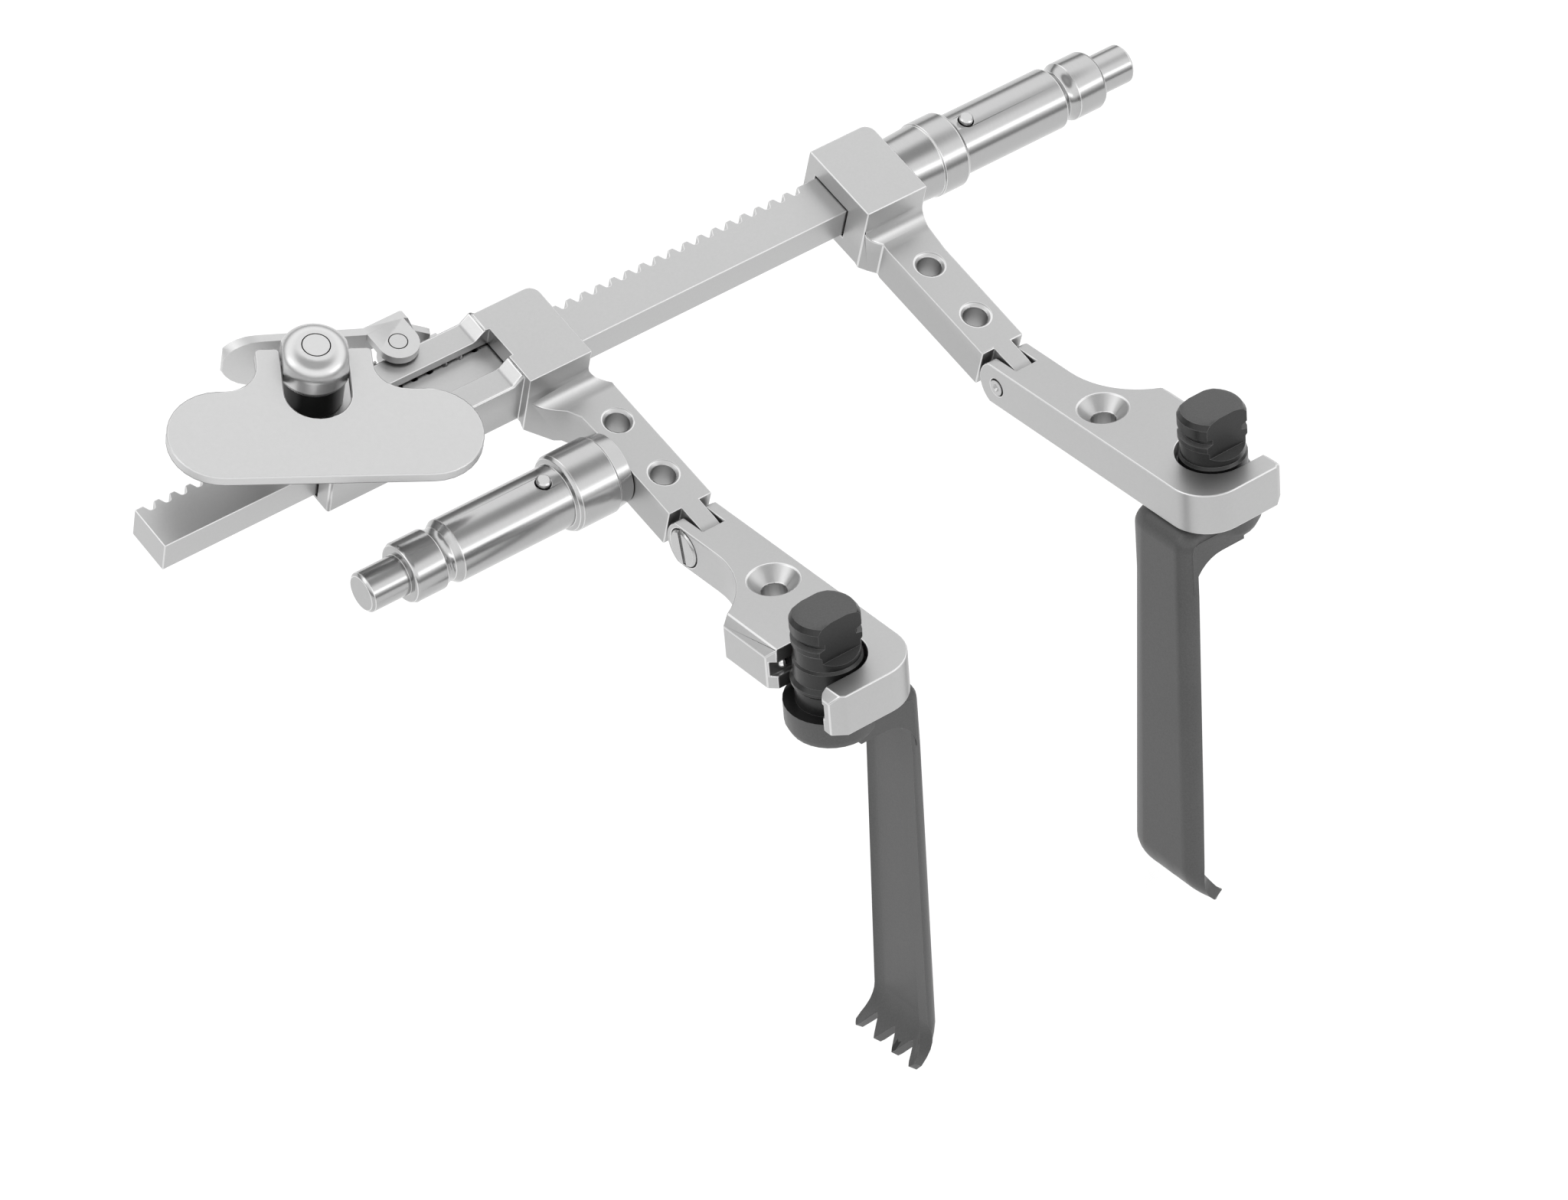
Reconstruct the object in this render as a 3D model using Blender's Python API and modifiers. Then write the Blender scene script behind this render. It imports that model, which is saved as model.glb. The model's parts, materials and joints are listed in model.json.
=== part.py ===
"""Cervical spreader: a rack with a fixed and a sliding arm, hinged outer arms and two swivelling blades.

The rack's free end face is centred on the origin. +X runs along the rack towards the fixed arm,
+Y points to the toothed side and +Z up. The arms reach out along -Y and the blades hang down.
"""

import math

import bmesh
import bpy
from mathutils import Euler, Matrix, Vector

MM = 0.001

# Clearances
RUNNING_GAP = 0.3 * MM
SEAT_GAP = 0.2 * MM
PIN_GAP = 0.15 * MM

# Rack bar and its teeth
RACK_FREE_LENGTH = 111.6 * MM
RACK_WIDTH = 7.0 * MM
RACK_HEIGHT = 5.0 * MM
RACK_SOCKET_DEPTH = 8.2 * MM
TOOTH_PITCH = 2.45 * MM
TOOTH_ADDENDUM = 0.45 * MM
TOOTH_DEDENDUM = 0.6 * MM
TOOTH_FLANK_ANGLE = math.radians(25.0)
FIRST_NOTCH_X = 2.1 * MM
TOOTHLESS_END = 2.5 * MM

# Fixed head and the fixed arm
FIXED_HEAD_LENGTH = 10.2 * MM
HEAD_TOP_Z = 5.9 * MM
HEAD_FRONT_Y = -7.6 * MM
FIXED_HEAD_BACK_Y = 5.6 * MM
FIXED_HEAD_BOTTOM_Z = -4.7 * MM
FIXED_ARM_INSET = 2.45 * MM
RETAINING_PIN_RADIUS = 0.9 * MM
RETAINING_PIN_INSET = 4.6 * MM
RETAINING_PIN_ROOF = 2.0 * MM
HEAD_CORNER_RADIUS = 1.6 * MM

# Sliding head and its sleeve
SLIDING_HEAD_X = 54.9 * MM
SLIDING_HEAD_LENGTH = 10.1 * MM
SLIDING_HEAD_BACK_Y = 5.8 * MM
SLIDING_HEAD_BOTTOM_Z = -3.5 * MM
SLIDING_ARM_OFFSET = 3.05 * MM
SLEEVE_LENGTH = 30.8 * MM
SLEEVE_FRONT_Y = -6.35 * MM
SLEEVE_BACK_Y = 6.5 * MM
SLEEVE_TOP_Z = 4.3 * MM
RAMP_LENGTH = 1.6 * MM
WINDOW_WIDTH = 5.2 * MM
WINDOW_LENGTH = 19.0 * MM
WINDOW_END_INSET = 0.6 * MM
SLIDING_NECK_OUT = 1.45 * MM
SLIDING_NECK_START = 2.8 * MM
SLIDING_NECK_IN = 0.3 * MM
SLIDING_NECK_KNEE = 4.7 * MM
SLIDING_NECK_LENGTH = 8.7 * MM
SLIDING_NECK_STEP = 0.25 * MM
SLIDING_NECK_STEP_LENGTH = 2.0 * MM

# Upper arms, from the heads to the tilting hinges
ARM_WIDTH = 7.0 * MM
ARM_THICKNESS = 6.3 * MM
ARM_MID_Z = -3.5 * MM
SHOULDER_Y = -31.5 * MM
HINGE_Y = -35.3 * MM
TONGUE_WIDTH = 2.9 * MM
DROP_RADIUS = 2.8 * MM
ARM_HOLE_FIRST_Y = -15.2 * MM
ARM_HOLE_SPACING = 10.3 * MM
ARM_HOLE_BORE = 3.3 * MM
ARM_HOLE_RIM = 4.3 * MM

# Tilting outer arms that hold the blades
TILT = math.radians(19.0)
HOLDER_LENGTH = 43.3 * MM
HOOK_THICKNESS = 4.0 * MM
HOLDER_OUTSIDE = 11.3 * MM
HOLDER_END_RADIUS = 7.0 * MM
HOLLOW_START = 7.5 * MM
HOLLOW_RADIUS = 12.5 * MM
HOOK_CORNER = 1.0 * MM
TOP_CHAMFER = 1.8 * MM
HOLDER_HOLE_SIDE = 1.3 * MM
HOLDER_HOLE_DISTANCE = 16.9 * MM
HOLDER_HOLE_BORE = 3.4 * MM
HOLDER_HOLE_RIM = 7.0 * MM
HOLDER_SINK_DEPTH = 1.9 * MM
MOUTH_GROOVE_DEPTH = 0.8 * MM
MOUTH_GROOVE_HEIGHT = 2.2 * MM

# Hinge screw on the sliding side and riveted pin on the fixed side
SCREW_HEAD_RADIUS = 2.7 * MM
SCREW_HEAD_SINK = 0.7 * MM
SCREW_HEAD_PROUD = 0.3 * MM
SCREW_SLOT_WIDTH = 0.7 * MM
SCREW_SLOT_DEPTH = 0.5 * MM
SCREW_SLOT_TURN = math.radians(8.0)
HINGE_SHAFT_RADIUS = 1.15 * MM

# Detent balls in the walls of each mouth
BALL_RADIUS = 0.8 * MM
BALL_INSET = 0.25 * MM
BALL_FROM_OUTSIDE = 2.6 * MM
BALL_POCKET_DEPTH = 1.9 * MM

# Blade stems
STEM_SIDE = 5.8 * MM
STEM_RADIUS = 4.7 * MM
STEM_SLOT_GAP = 0.4 * MM
STEM_TOP = 11.0 * MM
STEM_NECK_RADIUS = 4.1 * MM
STEM_NECK_TOP = 8.0 * MM
STEM_NECK_HEIGHT = 0.7 * MM
STEM_RING_RADIUS = 5.2 * MM
STEM_RING_HEIGHT = 1.0 * MM
STEM_FLAT = 3.7 * MM
STEM_FLAT_BOTTOM = 4.9 * MM
FOOT_RADIUS = 6.0 * MM
FOOT_HEIGHT = 5.0 * MM
WEB_WIDTH = 9.3 * MM
WEB_DROP = 3.4 * MM

# Blades
BLADE_THICKNESS = 1.7 * MM
BLADE_INSET = 0.2 * MM
BLADE_TOP_WIDTH = 11.3 * MM
BLADE_BOTTOM_WIDTH = 14.0 * MM
BLADE_OFFSET = 0.6 * MM
BLADE_LENGTH = 65.3 * MM
BLADE_CURL = 2.3 * MM
BLADE_CORNER = 2.2 * MM
TIP_FLARE = 4.6 * MM
TIP_FLARE_LENGTH = 9.0 * MM
TIP_TEETH = 4
TIP_TOOTH_HEIGHT = 3.4 * MM

# Mounting posts
POST_COLLAR_RADIUS = 5.3 * MM
POST_BODY_RADIUS = 4.3 * MM
POST_GROOVE_RADIUS = 3.7 * MM
POST_TIP_RADIUS = 2.65 * MM
POST_TIP_CHAMFER = 0.4 * MM
POST_STUB_RADIUS = 2.0 * MM
POST_STUB_LENGTH = 1.2 * MM
POST_PIN_RADIUS = 1.0 * MM
POST_PIN_PROUD = 0.9 * MM
POST_PIN_DEPTH = 2.4 * MM
SLIDING_POST_Y = -19.4 * MM
SLIDING_POST_CONE = 2.4 * MM
SLIDING_POST_COLLAR = 6.9 * MM
SLIDING_POST_BODY = 17.4 * MM
SLIDING_POST_PIN = 12.0 * MM
FIXED_POST_CONE = 6.0 * MM
FIXED_POST_COLLAR = 4.8 * MM
FIXED_POST_BODY = 18.6 * MM
FIXED_POST_PIN = 13.0 * MM
POST_BASE_RADIUS = 4.4 * MM
POST_RIM_RUN = 0.7 * MM
POST_GROOVE_LENGTH = 1.9 * MM
POST_FRONT_LENGTH = 5.3 * MM
POST_TIP_LENGTH = 6.0 * MM

# Pinion, its housing and the key
PINION_TEETH = 9
PINION_X = 29.5 * MM
PINION_BACKLASH = 0.25 * MM
PINION_THICKNESS = 4.4 * MM
PINION_JOURNAL_RADIUS = 1.2 * MM
PINION_SHAFT_RADIUS = 2.3 * MM
HOUSING_WALL = 0.9 * MM
HOUSING_FLOOR = 0.9 * MM
COVER_THICKNESS = 1.6 * MM
PILLAR_RADIUS = 4.15 * MM
PILLAR_TOP_Z = 14.5 * MM
PILLAR_ROUNDING = 1.3 * MM
PILLAR_RIVET_RADIUS = 1.8 * MM
CROSS_PIN_RADIUS = 0.45 * MM
CROSS_PIN_GAP = 0.12 * MM
CROSS_PIN_IN_TAB = 1.8 * MM

# Folding key wing
WING_TURN = math.radians(-29.5)
WING_TOP_Z = 11.4 * MM
WING_THICKNESS = 1.6 * MM
WING_LENGTH = 41.3 * MM
WING_WIDTH = 14.3 * MM
WING_OFFSET = 0.45 * MM
WING_REACH = 19.3 * MM
WING_TAB_WIDTH = 3.2 * MM
WING_TAB_PAST_PIN = 2.0 * MM
WING_FILLET = 4.4 * MM
WING_SLOT_DEPTH = 9.8 * MM
WING_EDGE = 0.35 * MM

# Release pawl lever, its pivot and its leaf spring
PAWL_X = 43.8 * MM
PAWL_Y = 7.0 * MM
PAWL_TAB_RADIUS = 2.9 * MM
PAWL_TAB_THICKNESS = 1.2 * MM
PAWL_TAB_BOTTOM_Z = 4.7 * MM
PAWL_LUG_RADIUS = 2.6 * MM
PAWL_LUG_THICKNESS = 1.9 * MM
PAWL_STRIP = 1.2 * MM
PAWL_STRIP_SETBACK = 3.6 * MM
PAWL_TIP_X = 24.1 * MM
PAWL_TIP_Y = 18.8 * MM
PAWL_NOSE_X = 50.4 * MM
PAWL_NOSE_TIP = 0.7 * MM
PAWL_NOSE_ROOT = 2.4 * MM
PAWL_NOSE_HEIGHT = 2.4 * MM
PAWL_SLOT_LENGTH = 4.6 * MM
PAWL_NECK_HEIGHT = 3.7 * MM
PAWL_PAD_HEIGHT = 9.0 * MM
PAWL_PAD_LENGTH = 7.0 * MM
PAWL_PIN_RADIUS = 1.2 * MM
LEAF_THICKNESS = 0.3 * MM
LEAF_HEIGHT = 3.0 * MM
LEAF_TOP_Z = 4.0 * MM
LEAF_RIVET_X = 38.6 * MM
LEAF_RIVET_RADIUS = 0.6 * MM
LEAF_RIVET_HEAD = 1.1 * MM
LEAF_FLAT = 3.4 * MM
LEAF_RISE_X = 4.0 * MM
LEAF_RISE_Y = 4.6 * MM

# Edges and facets
EDGE_CHAMFER = 0.3 * MM
ROUND_STEPS = 32
WELD = 1e-6
REACH = 30.0 * MM

# Values that follow from the sizes above
ARM_TOP_Z = ARM_MID_Z + ARM_THICKNESS / 2
ARM_BOTTOM_Z = ARM_MID_Z - ARM_THICKNESS / 2
FIXED_ARM_X = RACK_FREE_LENGTH + FIXED_ARM_INSET + ARM_WIDTH / 2
SLIDING_HEAD_END_X = SLIDING_HEAD_X + SLIDING_HEAD_LENGTH
SLIDING_ARM_X = SLIDING_HEAD_END_X + SLIDING_ARM_OFFSET - ARM_WIDTH / 2
SLEEVE_END_X = SLIDING_HEAD_X - SLEEVE_LENGTH
PITCH_RADIUS = PINION_TEETH * TOOTH_PITCH / (2 * math.pi)
PINION_Y = RACK_WIDTH / 2 - TOOTH_ADDENDUM + PITCH_RADIUS
PINION_OUTSIDE = PITCH_RADIUS + TOOTH_ADDENDUM - 0.03 * MM
HOUSING_BORE = PINION_OUTSIDE + RUNNING_GAP
HOUSING_RADIUS = HOUSING_BORE + HOUSING_WALL
STEM_SLOT_RADIUS = STEM_RADIUS + STEM_SLOT_GAP
STEM_DISTANCE = HOLDER_LENGTH - HOOK_THICKNESS - STEM_SLOT_RADIUS
WING_PIN_Z = WING_TOP_Z - WING_THICKNESS / 2
WING_SLOT_HALF = PILLAR_RADIUS + RUNNING_GAP
CHANNEL_HALF_WIDTH = RACK_WIDTH / 2 + RUNNING_GAP
CHANNEL_HALF_HEIGHT = RACK_HEIGHT / 2 + RUNNING_GAP
FORK_END = ARM_THICKNESS / 2 + RUNNING_GAP + SEAT_GAP

PLANES = {
    "XY": Matrix.Identity(4),
    "YZ": Matrix(((0, 0, 1, 0), (1, 0, 0, 0), (0, 1, 0, 0), (0, 0, 0, 1))),
    "XZ": Matrix(((1, 0, 0, 0), (0, 0, -1, 0), (0, 1, 0, 0), (0, 0, 0, 1))),
}


def clear_scene():
    for obj in list(bpy.data.objects):
        bpy.data.objects.remove(obj, do_unlink=True)


def new_collection(name):
    made = bpy.data.collections.new(name)
    bpy.context.scene.collection.children.link(made)
    return made


def metal(name, shade, roughness, metallic=1.0):
    made = bpy.data.materials.new(name)
    made.use_nodes = True
    shader = made.node_tree.nodes["Principled BSDF"]
    shader.inputs["Base Color"].default_value = (shade, shade, shade, 1.0)
    shader.inputs["Roughness"].default_value = roughness
    shader.inputs["Metallic"].default_value = metallic
    return made


def mesh_object(name, mesh, parent=None):
    made = bpy.data.objects.new(name, mesh)
    cutters.objects.link(made)
    made.parent = parent
    made.hide_render = True
    made.display_type = "WIRE"
    return made


def as_part(obj, material, smooth_angle=30.0):
    """Move a finished shape from the helpers to the parts and give it its material."""
    cutters.objects.unlink(obj)
    parts.objects.link(obj)
    obj.hide_render = False
    obj.display_type = "TEXTURED"
    obj.data.materials.clear()
    obj.data.materials.append(material)
    obj.data.shade_smooth()
    obj.data.set_sharp_from_angle(angle=math.radians(smooth_angle))
    return obj


def arc(centre, radius, start, end, steps):
    """Points of an arc, from the start angle to the end angle in degrees."""
    points = []
    for step in range(steps + 1):
        angle = math.radians(start + (end - start) * step / steps)
        points.append((centre[0] + radius * math.cos(angle), centre[1] + radius * math.sin(angle)))
    return points


def slab(name, outline, low, high, plane="XY", parent=None):
    """A flat outline given thickness from low to high along the plane's normal."""
    curve = bpy.data.curves.new(name, "CURVE")
    curve.dimensions = "2D"
    curve.fill_mode = "BOTH"
    curve.extrude = (high - low) / 2
    spline = curve.splines.new("POLY")
    spline.points.add(len(outline) - 1)
    for point, place in zip(spline.points, outline):
        point.co = (place[0], place[1], 0.0, 1.0)
    spline.use_cyclic_u = True
    drawn = bpy.data.objects.new(name + "_outline", curve)
    cutters.objects.link(drawn)
    graph = bpy.context.evaluated_depsgraph_get()
    mesh = bpy.data.meshes.new_from_object(drawn.evaluated_get(graph))
    bpy.data.objects.remove(drawn, do_unlink=True)
    bpy.data.curves.remove(curve)
    work = bmesh.new()
    work.from_mesh(mesh)
    bmesh.ops.remove_doubles(work, verts=work.verts, dist=WELD)
    bmesh.ops.translate(work, verts=work.verts, vec=(0, 0, (high + low) / 2))
    bmesh.ops.transform(work, matrix=PLANES[plane], verts=work.verts)
    bmesh.ops.recalc_face_normals(work, faces=work.faces)
    work.to_mesh(mesh)
    work.free()
    mesh.name = name
    return mesh_object(name, mesh, parent)


def block(name, low, high, parent=None):
    """A box between two opposite corners."""
    mesh = bpy.data.meshes.new(name)
    work = bmesh.new()
    bmesh.ops.create_cube(work, size=1.0)
    size = [high[i] - low[i] for i in range(3)]
    middle = [(high[i] + low[i]) / 2 for i in range(3)]
    bmesh.ops.scale(work, vec=size, verts=work.verts)
    bmesh.ops.translate(work, vec=middle, verts=work.verts)
    work.to_mesh(mesh)
    work.free()
    return mesh_object(name, mesh, parent)


def rod(name, radius, start, end, parent=None, far_radius=None, steps=ROUND_STEPS):
    """A cylinder or a cone from one point to another."""
    first = Vector(start)
    run = Vector(end) - first
    mesh = bpy.data.meshes.new(name)
    work = bmesh.new()
    bmesh.ops.create_cone(
        work,
        cap_ends=True,
        segments=steps,
        radius1=radius,
        radius2=radius if far_radius is None else far_radius,
        depth=run.length,
    )
    turn = run.to_track_quat("Z", "Y").to_matrix().to_4x4()
    matrix = Matrix.Translation(first + run / 2) @ turn
    bmesh.ops.transform(work, matrix=matrix, verts=work.verts)
    work.to_mesh(mesh)
    work.free()
    return mesh_object(name, mesh, parent)


def turned(name, profile, parent=None, steps=ROUND_STEPS):
    """A profile of (radius, height) points, listed from the top down, turned about its own Z axis."""
    mesh = bpy.data.meshes.new(name)
    points = [(radius, 0.0, height) for radius, height in profile]
    edges = [(i, i + 1) for i in range(len(points) - 1)]
    mesh.from_pydata(points, edges, [])
    made = mesh_object(name, mesh, parent)
    screw = made.modifiers.new("turn", "SCREW")
    screw.axis = "Z"
    screw.steps = steps
    screw.render_steps = steps
    screw.use_merge_vertices = True
    screw.merge_threshold = WELD
    screw.use_smooth_shade = True
    return made


def combine(obj, other, operation):
    """Cut, join or intersect with another shape, which stays as a hidden helper."""
    modifier = obj.modifiers.new(operation.lower() + "_" + other.name, "BOOLEAN")
    modifier.operation = operation
    modifier.solver = "EXACT"
    modifier.object = other
    return obj


def cut(obj, other):
    return combine(obj, other, "DIFFERENCE")


def join(obj, other):
    return combine(obj, other, "UNION")


def overlap(obj, other):
    return combine(obj, other, "INTERSECT")


def chamfer_edges(obj, width, angle=50.0, segments=1):
    bevel = obj.modifiers.new("edges", "BEVEL")
    bevel.width = width
    bevel.segments = segments
    bevel.limit_method = "ANGLE"
    bevel.angle_limit = math.radians(angle)
    bevel.use_clamp_overlap = True
    return obj


def joint_frame(name, place, turn=(0.0, 0.0, 0.0), parent=None):
    """An empty on a joint's axis that carries the pieces of one moving body."""
    made = bpy.data.objects.new(name, None)
    parts.objects.link(made)
    made.empty_display_size = 5 * MM
    made.location = place
    made.rotation_euler = Euler(turn)
    made.parent = parent
    return made


def rack_end_x():
    return RACK_FREE_LENGTH + RACK_SOCKET_DEPTH - SEAT_GAP


def notch_count():
    toothed = RACK_FREE_LENGTH - TOOTHLESS_END - FIRST_NOTCH_X
    return int(toothed / TOOTH_PITCH) + 1


def make_rack():
    half = RACK_WIDTH / 2
    slope = math.tan(TOOTH_FLANK_ANGLE)
    mouth = TOOTH_PITCH / 4 + TOOTH_ADDENDUM * slope
    root = TOOTH_PITCH / 4 - TOOTH_DEDENDUM * slope
    depth = TOOTH_ADDENDUM + TOOTH_DEDENDUM
    outline = [(0.0, -half), (rack_end_x(), -half), (rack_end_x(), half)]
    for index in reversed(range(notch_count())):
        x = FIRST_NOTCH_X + index * TOOTH_PITCH
        outline.append((x + mouth, half))
        outline.append((x + root, half - depth))
        outline.append((x - root, half - depth))
        outline.append((x - mouth, half))
    outline.append((0.0, half))
    rack = slab("rack_bar", outline, -RACK_HEIGHT / 2, RACK_HEIGHT / 2)
    x = RACK_FREE_LENGTH + RETAINING_PIN_INSET
    hole = rod("rack_pin_hole", RETAINING_PIN_RADIUS + PIN_GAP, (x, 0, -REACH), (x, 0, REACH), steps=20)
    cut(rack, hole)
    return as_part(rack, steel)


def arm_side_profile(back_y, head_bottom_z):
    """The arm seen from its side: tall head, hollow drop, flat arm and round tongue end."""
    half = ARM_THICKNESS / 2
    behind = back_y + MM
    profile = [(behind, head_bottom_z), (behind, HEAD_TOP_Z), (HEAD_FRONT_Y, HEAD_TOP_Z)]
    centre = (HEAD_FRONT_Y - DROP_RADIUS, ARM_TOP_Z + DROP_RADIUS)
    profile += arc(centre, DROP_RADIUS, 0, -90, 7)
    profile += arc((HINGE_Y, ARM_MID_Z), half, 90, 270, 14)
    profile += [(HEAD_FRONT_Y - 2.2 * MM, ARM_BOTTOM_Z), (HEAD_FRONT_Y + 0.8 * MM, head_bottom_z)]
    return profile


def arm_plan(head_left, head_right, back_y, centre_x, left_run, right_run):
    """The head and arm seen from above, with the tongue at the far end."""
    left = centre_x - ARM_WIDTH / 2
    right = centre_x + ARM_WIDTH / 2
    tongue_end = HINGE_Y - ARM_THICKNESS / 2 - 1 * MM
    radius = HEAD_CORNER_RADIUS
    outline = [(head_left, HEAD_FRONT_Y), (head_left, back_y)]
    outline = outline[::-1]
    outline += [(left + x, HEAD_FRONT_Y - y) for x, y in left_run]
    outline += [
        (left, SHOULDER_Y),
        (centre_x - TONGUE_WIDTH / 2, SHOULDER_Y),
        (centre_x - TONGUE_WIDTH / 2, tongue_end),
        (centre_x + TONGUE_WIDTH / 2, tongue_end),
        (centre_x + TONGUE_WIDTH / 2, SHOULDER_Y),
        (right, SHOULDER_Y),
    ]
    outline += [(right + x, HEAD_FRONT_Y - y) for x, y in reversed(right_run)]
    outline += [(head_right, HEAD_FRONT_Y)]
    outline += arc((head_right - radius, back_y - radius), radius, 0, 90, 6)
    return outline


def cut_arm_holes(arm, centre_x):
    for number in range(2):
        y = ARM_HOLE_FIRST_Y - number * ARM_HOLE_SPACING
        rim = (ARM_HOLE_RIM - ARM_HOLE_BORE) / 2
        bore = rod(
            f"{arm.name}_bore_{number}",
            ARM_HOLE_BORE / 2,
            (centre_x, y, ARM_BOTTOM_Z - MM),
            (centre_x, y, ARM_TOP_Z + MM),
            steps=24,
        )
        sink = rod(
            f"{arm.name}_rim_{number}",
            ARM_HOLE_BORE / 2 - rim,
            (centre_x, y, ARM_TOP_Z - 2 * rim),
            (centre_x, y, ARM_TOP_Z + rim),
            far_radius=ARM_HOLE_RIM / 2 + rim,
            steps=24,
        )
        cut(cut(arm, bore), sink)
    x = centre_x
    pin = rod(
        arm.name + "_hinge_hole",
        HINGE_SHAFT_RADIUS + RUNNING_GAP,
        (x - ARM_WIDTH, HINGE_Y, ARM_MID_Z),
        (x + ARM_WIDTH, HINGE_Y, ARM_MID_Z),
        steps=24,
    )
    cut(arm, pin)


def make_fixed_arm():
    left = RACK_FREE_LENGTH
    right = left + FIXED_HEAD_LENGTH
    profile = arm_side_profile(FIXED_HEAD_BACK_Y, FIXED_HEAD_BOTTOM_Z)
    inner_run = [(-1.25 * MM, 0.9 * MM), (0.0, 1.7 * MM)]
    outer_run = [(0.5 * MM, 3.0 * MM), (0.15 * MM, 6.5 * MM)]
    plan = arm_plan(left, right, FIXED_HEAD_BACK_Y, FIXED_ARM_X, inner_run, outer_run)
    arm = slab("fixed_arm", plan, ARM_BOTTOM_Z - MM, HEAD_TOP_Z + MM)
    overlap(arm, slab("fixed_arm_side", profile, left - MM, right + MM, "YZ"))
    socket = block(
        "rack_socket",
        (left - MM, -RACK_WIDTH / 2 - SEAT_GAP, -RACK_HEIGHT / 2 - SEAT_GAP),
        (left + RACK_SOCKET_DEPTH, RACK_WIDTH / 2 + SEAT_GAP, RACK_HEIGHT / 2 + SEAT_GAP),
    )
    cut(arm, socket)
    x = RACK_FREE_LENGTH + RETAINING_PIN_INSET
    roof = HEAD_TOP_Z - RETAINING_PIN_ROOF
    hole = rod(
        "retaining_pin_hole",
        RETAINING_PIN_RADIUS + PIN_GAP,
        (x, 0, FIXED_HEAD_BOTTOM_Z - MM),
        (x, 0, roof),
        steps=20,
    )
    cut(arm, hole)
    stub = rod(
        "fixed_post_socket",
        POST_STUB_RADIUS + PIN_GAP,
        (right - POST_STUB_LENGTH - PIN_GAP, 0, 0),
        (right + MM, 0, 0),
        steps=24,
    )
    cut(arm, stub)
    cut_arm_holes(arm, FIXED_ARM_X)
    as_part(arm, steel)
    pin = rod(
        "rack_retaining_pin",
        RETAINING_PIN_RADIUS,
        (x, 0, FIXED_HEAD_BOTTOM_Z),
        (x, 0, roof - PIN_GAP),
        steps=20,
    )
    as_part(pin, steel)


def cut_sleeve_openings(arm):
    channel = block(
        "rack_channel",
        (SLEEVE_END_X - MM, -CHANNEL_HALF_WIDTH, -CHANNEL_HALF_HEIGHT),
        (SLIDING_HEAD_END_X + 8 * MM, CHANNEL_HALF_WIDTH, CHANNEL_HALF_HEIGHT),
    )
    cut(arm, channel)
    window_end = SLIDING_HEAD_X + WINDOW_END_INSET
    window = block(
        "sleeve_window",
        (window_end - WINDOW_LENGTH, -WINDOW_WIDTH / 2, CHANNEL_HALF_HEIGHT - MM),
        (window_end, WINDOW_WIDTH / 2, HEAD_TOP_Z + MM),
    )
    cut(arm, window)
    floor = SLIDING_HEAD_BOTTOM_Z + HOUSING_FLOOR
    bore = rod("pinion_bore", HOUSING_BORE, (PINION_X, PINION_Y, floor), (PINION_X, PINION_Y, REACH))
    journal = rod(
        "journal_bore",
        PINION_JOURNAL_RADIUS + RUNNING_GAP,
        (PINION_X, PINION_Y, -REACH),
        (PINION_X, PINION_Y, REACH),
        steps=20,
    )
    cut(cut(arm, bore), journal)
    slot = block(
        "pawl_slot",
        (PAWL_NOSE_X - PAWL_SLOT_LENGTH / 2, 0, -PAWL_NOSE_HEIGHT / 2 - RUNNING_GAP),
        (PAWL_NOSE_X + PAWL_SLOT_LENGTH / 2, SLEEVE_BACK_Y + MM, PAWL_NOSE_HEIGHT / 2 + RUNNING_GAP),
    )
    cut(arm, slot)
    pivot = rod(
        "pawl_pivot_hole",
        PAWL_PIN_RADIUS + PIN_GAP,
        (PAWL_X, PAWL_Y, SLEEVE_TOP_Z - PAWL_LUG_THICKNESS - MM),
        (PAWL_X, PAWL_Y, SLEEVE_TOP_Z + MM),
        steps=24,
    )
    cut(arm, pivot)
    rivet_z = LEAF_TOP_Z - LEAF_HEIGHT / 2
    rivet = rod(
        "leaf_rivet_hole",
        LEAF_RIVET_RADIUS + PIN_GAP,
        (LEAF_RIVET_X, SLEEVE_BACK_Y - 2 * MM, rivet_z),
        (LEAF_RIVET_X, SLEEVE_BACK_Y + MM, rivet_z),
        steps=16,
    )
    cut(arm, rivet)


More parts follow.
